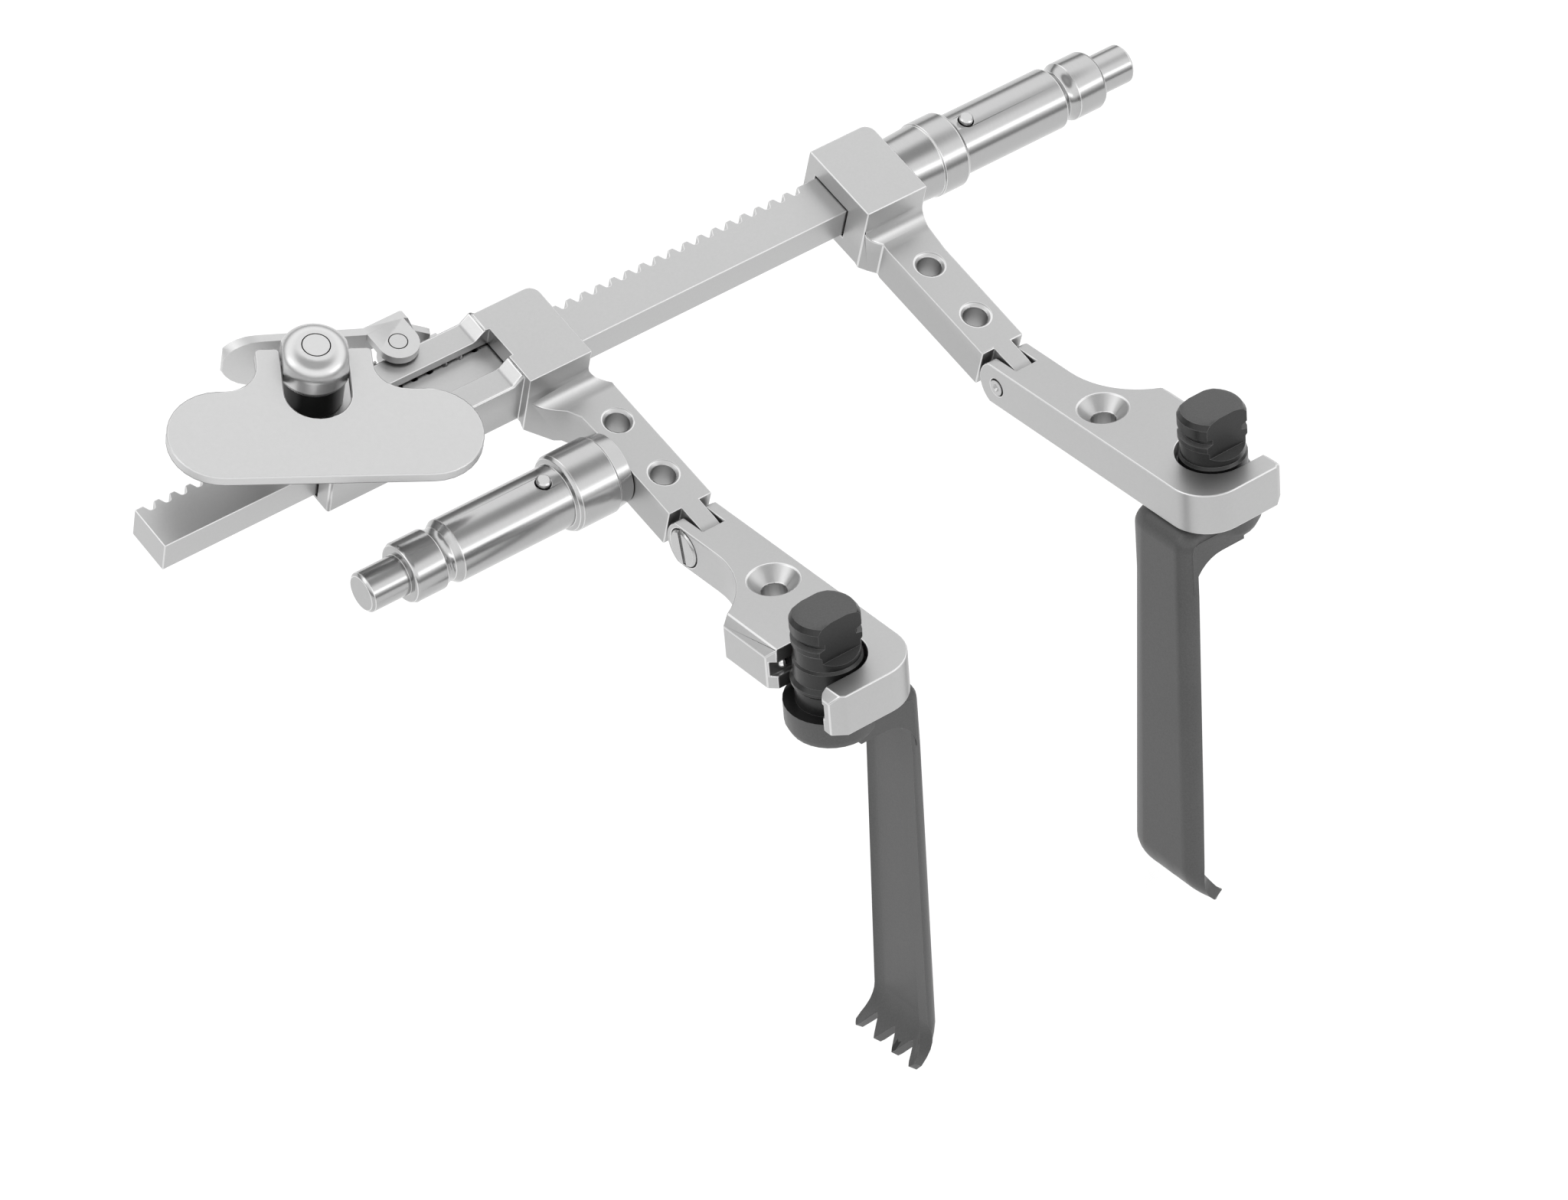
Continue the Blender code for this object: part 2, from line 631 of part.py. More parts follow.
def make_sliding_arm():
    left = SLIDING_HEAD_X
    right = SLIDING_HEAD_END_X
    back = SLIDING_HEAD_BACK_Y
    profile = arm_side_profile(back, SLIDING_HEAD_BOTTOM_Z)
    outer_run = [
        (-SLIDING_NECK_OUT, SLIDING_NECK_START),
        (-SLIDING_NECK_IN, SLIDING_NECK_KNEE),
        (-SLIDING_NECK_IN / 2, SLIDING_NECK_LENGTH),
    ]
    inner_run = [(-SLIDING_NECK_STEP, SLIDING_NECK_STEP_LENGTH)]
    plan = arm_plan(left, right, back, SLIDING_ARM_X, outer_run, inner_run)
    arm = slab("sliding_arm", plan, ARM_BOTTOM_Z - MM, HEAD_TOP_Z + MM)
    side = slab("sliding_arm_side", profile, left - MM, right + 8 * MM, "YZ")
    overlap(arm, side)
    sleeve_side = [
        (SLEEVE_END_X, SLIDING_HEAD_BOTTOM_Z),
        (left + 2 * MM, SLIDING_HEAD_BOTTOM_Z),
        (left + 2 * MM, SLEEVE_TOP_Z),
        (left, HEAD_TOP_Z),
        (left - RAMP_LENGTH, SLEEVE_TOP_Z),
        (SLEEVE_END_X, SLEEVE_TOP_Z),
    ]
    sleeve = slab("sleeve", sleeve_side, -SLEEVE_BACK_Y, -SLEEVE_FRONT_Y, "XZ")
    chamfer_edges(sleeve, EDGE_CHAMFER, 40.0)
    join(arm, sleeve)
    housing = rod(
        "pinion_housing",
        HOUSING_RADIUS,
        (PINION_X, PINION_Y, SLIDING_HEAD_BOTTOM_Z),
        (PINION_X, PINION_Y, SLEEVE_TOP_Z),
    )
    join(arm, housing)
    lug = [(PAWL_X - PAWL_LUG_RADIUS, SLEEVE_BACK_Y - MM)]
    lug += arc((PAWL_X, PAWL_Y), PAWL_LUG_RADIUS, 180, 0, 12)
    lug.append((PAWL_X + PAWL_LUG_RADIUS, SLEEVE_BACK_Y - MM))
    join(arm, slab("pawl_lug", lug, SLEEVE_TOP_Z - PAWL_LUG_THICKNESS, SLEEVE_TOP_Z))
    cut_sleeve_openings(arm)
    post_x = SLIDING_ARM_X - ARM_WIDTH / 2
    stub = rod(
        "sliding_post_socket",
        POST_STUB_RADIUS + PIN_GAP,
        (post_x - MM, SLIDING_POST_Y, ARM_MID_Z),
        (post_x + POST_STUB_LENGTH + PIN_GAP, SLIDING_POST_Y, ARM_MID_Z),
        steps=24,
    )
    cut(arm, stub)
    cut_arm_holes(arm, SLIDING_ARM_X)
    return as_part(arm, steel)


def post_profile(cone, collar, body, base_radius):
    """Radius and distance from the arm of each turned step of a post."""
    rim = POST_RIM_RUN
    collar_end = cone + collar
    body_end = collar_end + body
    groove_end = body_end + POST_GROOVE_LENGTH
    front_end = groove_end + POST_FRONT_LENGTH
    tip_end = front_end + POST_TIP_LENGTH
    front = POST_BODY_RADIUS
    steps = [
        (0.0, -POST_STUB_LENGTH),
        (POST_STUB_RADIUS, -POST_STUB_LENGTH),
        (POST_STUB_RADIUS, SEAT_GAP),
        (base_radius, SEAT_GAP),
        (POST_COLLAR_RADIUS - 0.2 * MM, cone),
        (POST_COLLAR_RADIUS, cone + 0.2 * MM),
        (POST_COLLAR_RADIUS, collar_end - rim),
        (POST_COLLAR_RADIUS - 0.3 * MM, collar_end - 0.2 * MM),
        (front, collar_end),
        (front, body_end - 0.2 * MM),
        (POST_GROOVE_RADIUS, body_end + 0.2 * MM),
        (POST_GROOVE_RADIUS, groove_end - 0.2 * MM),
        (front, groove_end + 0.2 * MM),
        (front, front_end - rim),
        (front - 0.3 * MM, front_end - 0.15 * MM),
        (front - 0.7 * MM, front_end),
        (POST_TIP_RADIUS, front_end),
        (POST_TIP_RADIUS, tip_end - POST_TIP_CHAMFER),
        (POST_TIP_RADIUS - POST_TIP_CHAMFER, tip_end),
        (0.0, tip_end),
    ]
    return steps


def make_post(name, frame, profile, pin_distance):
    """A post on its own axis frame, whose Z axis points away from the arm and Y axis up."""
    post = turned(name, profile[::-1], frame)
    top = POST_BODY_RADIUS
    bottom = top - POST_PIN_DEPTH
    hole = rod(
        name + "_pin_hole",
        POST_PIN_RADIUS + PIN_GAP,
        (0, bottom - PIN_GAP, pin_distance),
        (0, top + 3 * MM, pin_distance),
        frame,
        steps=20,
    )
    cut(post, hole)
    as_part(post, bright_steel)
    pin = rod(
        name + "_pin",
        POST_PIN_RADIUS,
        (0, bottom, pin_distance),
        (0, top + POST_PIN_PROUD, pin_distance),
        frame,
        steps=20,
    )
    chamfer_edges(pin, 0.2 * MM)
    as_part(pin, bright_steel)


def make_posts():
    right_angle = math.pi / 2
    fixed = joint_frame(
        "fixed_post_axis",
        (RACK_FREE_LENGTH + FIXED_HEAD_LENGTH, 0, 0),
        (right_angle, 0, right_angle),
    )
    profile = post_profile(FIXED_POST_CONE, FIXED_POST_COLLAR, FIXED_POST_BODY, POST_BASE_RADIUS)
    make_post("fixed_post", fixed, profile, FIXED_POST_PIN)
    sliding = joint_frame(
        "sliding_post_axis",
        (SLIDING_ARM_X - ARM_WIDTH / 2, SLIDING_POST_Y, ARM_MID_Z),
        (right_angle, 0, -right_angle),
    )
    profile = post_profile(SLIDING_POST_CONE, SLIDING_POST_COLLAR, SLIDING_POST_BODY, POST_BASE_RADIUS)
    make_post("sliding_post", sliding, profile, SLIDING_POST_PIN)


def holder_plan(side):
    """The outer arm seen from above in its own frame, with the hinge at the origin and the tip at -Y."""
    half = ARM_WIDTH / 2
    end = HOLDER_END_RADIUS
    centre = (STEM_SIDE, -STEM_DISTANCE)
    outside = HOLDER_OUTSIDE
    hollow = (half + HOLLOW_RADIUS, -HOLLOW_START)
    hollow_end = math.degrees(math.acos((outside - hollow[0]) / HOLLOW_RADIUS))
    outline = [(-half, ARM_THICKNESS)]
    outline += arc((end - half, end - HOLDER_LENGTH), end, 180, 270, 10)
    outline += [
        (outside - HOOK_CORNER, -HOLDER_LENGTH),
        (outside, HOOK_CORNER - HOLDER_LENGTH),
        (outside, centre[1] - STEM_SLOT_RADIUS),
    ]
    outline += arc(centre, STEM_SLOT_RADIUS, -90, -270, 20)
    outline.append((outside, centre[1] + STEM_SLOT_RADIUS))
    outline += arc(hollow, HOLLOW_RADIUS, -hollow_end, -180, 12)
    outline.append((half, ARM_THICKNESS))
    return [(side * x, y) for x, y in outline]


def make_holder(name, side, frame):
    half_thick = ARM_THICKNESS / 2
    plan = holder_plan(side)
    holder = slab(name, plan, -half_thick - MM, half_thick + MM, parent=frame)
    profile = arc((0.0, 0.0), half_thick, -90, 90, 12)
    profile += [(-HOLDER_LENGTH - MM, half_thick), (-HOLDER_LENGTH - MM, -half_thick)]
    overlap(holder, slab(name + "_side", profile, -REACH, REACH, "YZ", frame))
    fork_half = TONGUE_WIDTH / 2 + RUNNING_GAP
    fork = block(
        name + "_fork_slot",
        (-fork_half, -FORK_END, -REACH),
        (fork_half, REACH, REACH),
        frame,
    )
    cut(holder, fork)
    out = HOLDER_OUTSIDE
    chamfer = [
        (side * (out - TOP_CHAMFER - MM), half_thick + MM),
        (side * (out + MM), half_thick - TOP_CHAMFER - MM),
        (side * (out + MM), half_thick + MM),
    ]
    cut(holder, slab(name + "_chamfer", chamfer, 0, HOLDER_LENGTH + MM, "XZ", frame))
    groove_radius = STEM_SLOT_RADIUS + MOUTH_GROOVE_DEPTH
    groove = [(side * x, y) for x, y in arc((STEM_SIDE, -STEM_DISTANCE), groove_radius, -90, -270, 20)]
    groove.append((side * (out + MM), groove_radius - STEM_DISTANCE))
    groove.append((side * (out + MM), -groove_radius - STEM_DISTANCE))
    half_groove = MOUTH_GROOVE_HEIGHT / 2
    groove_cutter = slab(name + "_groove", groove, -half_groove, half_groove, parent=frame)
    cut(holder, groove_cutter)
    x = side * HOLDER_HOLE_SIDE
    y = -HOLDER_HOLE_DISTANCE
    bore = rod(
        name + "_hole",
        HOLDER_HOLE_BORE / 2,
        (x, y, -REACH),
        (x, y, REACH),
        frame,
        steps=24,
    )
    slope = (HOLDER_HOLE_RIM - HOLDER_HOLE_BORE) / 2 / HOLDER_SINK_DEPTH
    sink = rod(
        name + "_sink",
        HOLDER_HOLE_BORE / 2,
        (x, y, half_thick - HOLDER_SINK_DEPTH),
        (x, y, half_thick + MM),
        frame,
        far_radius=HOLDER_HOLE_RIM / 2 + slope * MM,
    )
    cut(cut(holder, bore), sink)
    pin = rod(
        name + "_hinge_hole",
        HINGE_SHAFT_RADIUS + PIN_GAP,
        (-REACH, 0, 0),
        (REACH, 0, 0),
        frame,
        steps=24,
    )
    cut(holder, pin)
    return holder


def make_detent_balls(holder, name, side, frame):
    """Two sprung balls, one in each wall of the holder's mouth."""
    x = side * (HOLDER_OUTSIDE - BALL_FROM_OUTSIDE)
    wall = STEM_SLOT_RADIUS + MOUTH_GROOVE_DEPTH
    for label, direction in (("inner", 1), ("outer", -1)):
        y = direction * (wall + BALL_INSET) - STEM_DISTANCE
        pocket_end = direction * (wall + BALL_POCKET_DEPTH) - STEM_DISTANCE
        pocket = rod(
            f"{name}_{label}_pocket",
            BALL_RADIUS + PIN_GAP,
            (x, -STEM_DISTANCE + direction * (wall - 0.4 * MM), 0),
            (x, pocket_end, 0),
            frame,
            steps=20,
        )
        cut(holder, pocket)
        mesh = bpy.data.meshes.new(f"{name}_{label}_ball")
        work = bmesh.new()
        bmesh.ops.create_uvsphere(work, u_segments=14, v_segments=9, radius=BALL_RADIUS)
        work.to_mesh(mesh)
        work.free()
        ball = mesh_object(f"{name}_{label}_ball", mesh, frame)
        ball.location = (x, y, 0)
        as_part(ball, chrome, 60.0)


def make_left_holder(frame):
    holder = make_holder("left_holder", -1, frame)
    make_detent_balls(holder, "left", -1, frame)
    outer_face = -ARM_WIDTH / 2
    sink = rod(
        "screw_head_seat",
        SCREW_HEAD_RADIUS + PIN_GAP,
        (outer_face - MM, 0, 0),
        (outer_face + SCREW_HEAD_SINK, 0, 0),
        frame,
    )
    cut(holder, sink)
    as_part(holder, steel)
    top = outer_face - SCREW_HEAD_PROUD
    seat = outer_face + SCREW_HEAD_SINK - PIN_GAP
    length = ARM_WIDTH / 2 - PIN_GAP
    axis = joint_frame("hinge_screw_axis", (0, 0, 0), (0, -math.pi / 2, 0), frame)
    screw = turned(
        "hinge_screw",
        [
            (0.0, -top),
            (SCREW_HEAD_RADIUS - 0.3 * MM, -top),
            (SCREW_HEAD_RADIUS, -top - 0.25 * MM),
            (SCREW_HEAD_RADIUS, -seat),
            (HINGE_SHAFT_RADIUS, -seat),
            (HINGE_SHAFT_RADIUS, -length),
            (0.0, -length),
        ],
        axis,
        24,
    )
    slot = block(
        "screw_slot",
        (-SCREW_HEAD_RADIUS - MM, -SCREW_SLOT_WIDTH / 2, -top - SCREW_SLOT_DEPTH),
        (SCREW_HEAD_RADIUS + MM, SCREW_SLOT_WIDTH / 2, -top + MM),
        axis,
    )
    slot.rotation_euler = (0, 0, SCREW_SLOT_TURN)
    cut(screw, slot)
    as_part(screw, bright_steel)


def make_right_holder(frame):
    holder = make_holder("right_holder", 1, frame)
    make_detent_balls(holder, "right", 1, frame)
    as_part(holder, steel)
    end = ARM_WIDTH / 2 + 0.1 * MM
    rivet = rod("hinge_rivet", HINGE_SHAFT_RADIUS, (-end, 0, 0), (end, 0, 0), frame, steps=24)
    dimple = rod(
        "rivet_dimple",
        HINGE_SHAFT_RADIUS * 0.6,
        (-end - 0.1 * MM, 0, 0),
        (-end + 0.3 * MM, 0, 0),
        frame,
        far_radius=HINGE_SHAFT_RADIUS * 0.2,
        steps=16,
    )
    cut(rivet, dimple)
    as_part(rivet, bright_steel)


def tip_depth(across):
    """How far a column of the blade stops short of the tooth tips."""
    position = (across + 0.9) / 1.8 * TIP_TEETH
    if position < 0 or position > TIP_TEETH:
        edge = 1.0 - min(abs(across), 1.0)
        return TIP_TOOTH_HEIGHT * (1.0 + 0.8 * (1.0 - edge / 0.1))
    return TIP_TOOTH_HEIGHT * abs(2 * (position - math.floor(position)) - 1)


def blade_columns():
    """Where the blade's columns of faces lie, from -1 to 1, with one at each tooth tip and root."""
    columns = [-1.0, -0.95]
    steps = TIP_TEETH * 4
    columns += [-0.9 + 1.8 * step / steps for step in range(steps + 1)]
    columns += [0.95, 1.0]
    return columns


def make_blade_shell(name, side, frame):
    """A trough-shaped sheet that widens downwards, with its toothed tip turned outwards."""
    columns = blade_columns()
    rows = 15
    top = -ARM_THICKNESS / 2 - RUNNING_GAP
    tip = top - BLADE_LENGTH
    full_rows = rows - 4
    mid_side = BLADE_INSET - ARM_WIDTH / 2 + BLADE_THICKNESS / 2
    mesh = bpy.data.meshes.new(name)
    work = bmesh.new()
    bmesh.ops.create_grid(work, x_segments=len(columns) - 1, y_segments=rows, size=1.0)
    for vertex in work.verts:
        column = round((vertex.co.x + 1) / 2 * (len(columns) - 1))
        row = round((1 - vertex.co.y) / 2 * rows)
        across = columns[column]
        corner = max(0.0, abs(across) * BLADE_TOP_WIDTH / 2 - (BLADE_TOP_WIDTH / 2 - BLADE_CORNER))
        drop = BLADE_CORNER - math.sqrt(max(BLADE_CORNER**2 - corner**2, 0.0))
        tooth_line = tip + TIP_FLARE_LENGTH
        if row <= full_rows:
            height = (top - drop) + (tooth_line - top + drop) * row / full_rows
        else:
            share = (row - full_rows) / (rows - full_rows)
            height = tooth_line + (tip + tip_depth(across) - tooth_line) * share
        down = (top - height) / BLADE_LENGTH
        width = BLADE_TOP_WIDTH + (BLADE_BOTTOM_WIDTH - BLADE_TOP_WIDTH) * down
        curl = BLADE_CURL * max(0.0, (abs(across) - 0.45) / 0.55) ** 2
        past = max(0.0, (tooth_line - height) / TIP_FLARE_LENGTH)
        flare = TIP_FLARE * past**2
        x = side * (mid_side + curl + flare)
        y = -BLADE_OFFSET - across * width / 2
        vertex.co = (x - side * STEM_SIDE, y, height)
    bmesh.ops.recalc_face_normals(work, faces=work.faces)
    work.to_mesh(mesh)
    work.free()
    shell = mesh_object(name, mesh, frame)
    solid = shell.modifiers.new("sheet", "SOLIDIFY")
    solid.thickness = BLADE_THICKNESS
    solid.offset = 0.0
    return shell


def stem_profile():
    top = STEM_TOP
    neck = STEM_NECK_TOP
    neck_end = neck - STEM_NECK_HEIGHT
    ring_end = neck_end - STEM_RING_HEIGHT
    foot = -ARM_THICKNESS / 2 - RUNNING_GAP
    bottom = foot - FOOT_HEIGHT
    radius = STEM_RADIUS
    return [
        (0.0, top),
        (radius * 0.72, top - 0.05 * MM),
        (radius * 0.9, top - 0.45 * MM),
        (radius, top - 1.2 * MM),
        (radius, neck + 0.3 * MM),
        (STEM_NECK_RADIUS, neck),
        (STEM_NECK_RADIUS, neck_end),
        (radius, neck_end - 0.25 * MM),
        (radius, ring_end),
        (radius - 0.25 * MM, ring_end - 0.3 * MM),
        (radius - 0.25 * MM, ARM_THICKNESS / 2 + 0.4 * MM),
        (radius, ARM_THICKNESS / 2),
        (radius, MOUTH_GROOVE_HEIGHT / 2 - 0.3 * MM),
        (STEM_RING_RADIUS, 0.2 * MM),
        (STEM_RING_RADIUS, -0.2 * MM),
        (radius, -MOUTH_GROOVE_HEIGHT / 2 + 0.3 * MM),
        (radius, foot),
        (FOOT_RADIUS, foot),
        (FOOT_RADIUS, bottom + 1.9 * MM),
        (FOOT_RADIUS * 0.92, bottom + 0.8 * MM),
        (FOOT_RADIUS * 0.72, bottom + 0.15 * MM),
        (FOOT_RADIUS * 0.5, bottom),
        (0.0, bottom),
    ]


def make_blade(name, side, frame):
    blade = make_blade_shell(name, side, frame)
    top = -ARM_THICKNESS / 2 - RUNNING_GAP
    bottom = top - FOOT_HEIGHT
    inner = BLADE_INSET - ARM_WIDTH / 2 + BLADE_THICKNESS * 0.6 - STEM_SIDE
    radius = WEB_DROP
    web = [(0.0, top - 0.27 * MM), (inner, top - 0.27 * MM), (inner, bottom - radius)]
    web += arc((inner + 0.6 * MM + radius, bottom - radius), radius, 180, 90, 6)
    web.append((0.0, bottom + 0.3 * MM))
    web = [(side * x, z) for x, z in web]
    join(blade, slab(name + "_web", web, -WEB_WIDTH / 2, WEB_WIDTH / 2, "XZ", frame))
    stem = turned(name + "_stem", stem_profile(), frame)
    for direction in (1, -1):
        flat = [
            (direction * STEM_FLAT, STEM_TOP + MM),
            (direction * STEM_FLAT, STEM_FLAT_BOTTOM),
            (direction * (STEM_RADIUS + MM), STEM_FLAT_BOTTOM - 1.2 * MM),
            (direction * (STEM_RADIUS + MM), STEM_TOP + MM),
        ]
        label = "outer" if direction < 0 else "inner"
        cut(stem, slab(f"{name}_{label}_flat", flat, -REACH, REACH, "YZ", frame))
    join(blade, stem)
    return as_part(blade, black_steel)


def make_arms_and_blades():
    for name, side, x in (("left", -1, SLIDING_ARM_X), ("right", 1, FIXED_ARM_X)):
        hinge = joint_frame(name + "_tilt_axis", (x, HINGE_Y, ARM_MID_Z), (-TILT, 0, 0))
        if side < 0:
            make_left_holder(hinge)
        else:
            make_right_holder(hinge)
        swivel = joint_frame(
            name + "_swivel_axis",
            (side * STEM_SIDE, -STEM_DISTANCE, 0),
            (0, 0, 0),
            hinge,
        )
        make_blade(name + "_blade", side, swivel)


def pinion_outline():
    """Involute teeth that roll on the straight-flanked rack, with backlash and a tooth in a notch."""
    base = PITCH_RADIUS * math.cos(TOOTH_FLANK_ANGLE)
    root = PITCH_RADIUS - TOOTH_DEDENDUM
    half_at_pitch = (TOOTH_PITCH / 2 - PINION_BACKLASH) / (2 * PITCH_RADIUS)
    involute = math.tan(TOOTH_FLANK_ANGLE) - TOOTH_FLANK_ANGLE
    steps = round((PINION_X - FIRST_NOTCH_X) / TOOTH_PITCH)
    notch_x = FIRST_NOTCH_X + steps * TOOTH_PITCH
    phase = -math.pi / 2 + (notch_x - PINION_X) / PITCH_RADIUS
    radii = [base + (PINION_OUTSIDE - base) * step / 3 for step in range(4)]
    flank = [(root, half_at_pitch + involute)]
    for radius in radii:
        roll = math.acos(min(1.0, base / radius))
        flank.append((radius, half_at_pitch + involute - (math.tan(roll) - roll)))
    outline = []
    for tooth in range(PINION_TEETH):
        centre = phase + tooth * 2 * math.pi / PINION_TEETH
        for radius, half in flank:
            outline.append((radius * math.cos(centre - half), radius * math.sin(centre - half)))
        for radius, half in reversed(flank):
            outline.append((radius * math.cos(centre + half), radius * math.sin(centre + half)))
    return outline


def make_pinion(frame):
    half = PINION_THICKNESS / 2
    gear = slab("pinion_gear", pinion_outline(), -half, half, parent=frame)
    shaft = turned(
        "pinion_shaft",
        [
            (0.0, PILLAR_TOP_Z),
            (PILLAR_RIVET_RADIUS, PILLAR_TOP_Z),
            (PILLAR_RIVET_RADIUS, SLEEVE_TOP_Z + RUNNING_GAP),
            (PINION_SHAFT_RADIUS, SLEEVE_TOP_Z),
            (PINION_SHAFT_RADIUS, 0.0),
            (PINION_JOURNAL_RADIUS, -0.1 * MM),
            (PINION_JOURNAL_RADIUS, SLIDING_HEAD_BOTTOM_Z),
            (0.0, SLIDING_HEAD_BOTTOM_Z),
        ],
        frame,
        24,
    )
    join(gear, shaft)
    return gear


def make_key(pinion_frame, wing_frame):
    gear = make_pinion(pinion_frame)
    pillar = turned(
        "key_pillar",
        [(0.0, PILLAR_TOP_Z)]
        + [
            (radius, height)
            for radius, height in arc(
                (PILLAR_RADIUS - PILLAR_ROUNDING, PILLAR_TOP_Z - PILLAR_ROUNDING),
                PILLAR_ROUNDING,
                90,
                0,
                5,
            )
        ]
        + [(PILLAR_RADIUS, SLEEVE_TOP_Z + RUNNING_GAP), (0.0, SLEEVE_TOP_Z + RUNNING_GAP)],
        pinion_frame,
    )
    bore = rod(
        "pillar_bore",
        PILLAR_RIVET_RADIUS + PIN_GAP,
        (0, 0, 0),
        (0, 0, REACH),
        pinion_frame,
        steps=24,
    )
    cut(pillar, bore)
    lengthwise = REACH
    pin_hole = rod(
        "cross_pin_hole",
        CROSS_PIN_RADIUS + CROSS_PIN_GAP,
        (-lengthwise, 0, 0),
        (lengthwise, 0, 0),
        wing_frame,
        steps=16,
    )
    cut(pillar, pin_hole)
    cut(gear, pin_hole)
    as_part(gear, steel)
    as_part(pillar, bright_steel)
    reach = WING_SLOT_HALF + CROSS_PIN_IN_TAB
    pin = rod("key_cross_pin", CROSS_PIN_RADIUS, (-reach, 0, 0), (reach, 0, 0), wing_frame, steps=16)
    as_part(pin, bright_steel)
    cover = rod(
        "pinion_cover",
        HOUSING_BORE - SEAT_GAP,
        (0, 0, SLEEVE_TOP_Z - COVER_THICKNESS),
        (0, 0, SLEEVE_TOP_Z),
        pinion_frame,
    )
    shaft_hole = rod(
        "cover_hole",
        PINION_SHAFT_RADIUS + RUNNING_GAP,
        (0, 0, 0),
        (0, 0, REACH),
        pinion_frame,
        steps=24,
    )
    cut(cover, shaft_hole)
    rack_side = block(
        "cover_rack_side",
        (-REACH, -REACH, -REACH),
        (REACH, RACK_WIDTH / 2 + RUNNING_GAP - PINION_Y, RACK_HEIGHT / 2 + RUNNING_GAP),
        pinion_frame,
    )
    cut(cover, rack_side)
    as_part(cover, steel)
    make_wing(wing_frame, reach)


def make_wing(frame, pin_reach):
    """The flat key plate in its own frame, with its fold axis along X through the origin."""
    end_radius = WING_WIDTH / 2
    front = -WING_REACH
    back = front + WING_WIDTH
    left = WING_OFFSET - WING_LENGTH / 2 + end_radius
    right = WING_OFFSET + WING_LENGTH / 2 - end_radius
    slot = WING_SLOT_HALF
    tab = slot + WING_TAB_WIDTH
    tip = WING_TAB_PAST_PIN
    fillet = WING_FILLET
    corner = 0.6 * MM
    middle = front + end_radius
    outline = arc((right, middle), end_radius, -90, 90, 16)
    outline += arc((tab + fillet, back + fillet), fillet, 270, 180, 7)
    outline += arc((tab - corner, tip - corner), corner, 0, 90, 3)
    outline += arc((slot + corner, tip - corner), corner, 90, 180, 3)
    outline += arc((0.0, slot - WING_SLOT_DEPTH), slot, 0, -180, 18)
    outline += arc((-slot - corner, tip - corner), corner, 0, 90, 3)
    outline += arc((-tab + corner, tip - corner), corner, 90, 180, 3)
    outline += arc((-tab - fillet, back + fillet), fillet, 0, -90, 7)
    outline += arc((left, middle), end_radius, 90, 270, 16)
    wing = slab("key_wing", outline, -WING_THICKNESS / 2, WING_THICKNESS / 2, parent=frame)
    chamfer_edges(wing, WING_EDGE, 60.0)
    hole = rod(
        "tab_pin_hole",
        CROSS_PIN_RADIUS + CROSS_PIN_GAP,
        (-pin_reach - CROSS_PIN_GAP, 0, 0),
        (pin_reach + CROSS_PIN_GAP, 0, 0),
        frame,
        steps=16,
    )
    cut(wing, hole)
    as_part(wing, satin_steel)


def strip_outline(path, thickness):
    """The outline of a strip of constant thickness along a path of points."""
    count = len(path)
    left = []
    right = []
    for index in range(count):
        before = Vector(path[max(index - 1, 0)])
        here = Vector(path[index])
        after = Vector(path[min(index + 1, count - 1)])
        one = (here - before).normalized() if index else (after - here).normalized()
        two = (after - here).normalized() if index < count - 1 else one
        along = (one + two).normalized()
        width = thickness / 2 / max(along.dot(one), 0.3)
        across = Vector((-along.y, along.x)) * width
        left.append(tuple(here + across))
        right.append(tuple(here - across))
    return left + right[::-1]


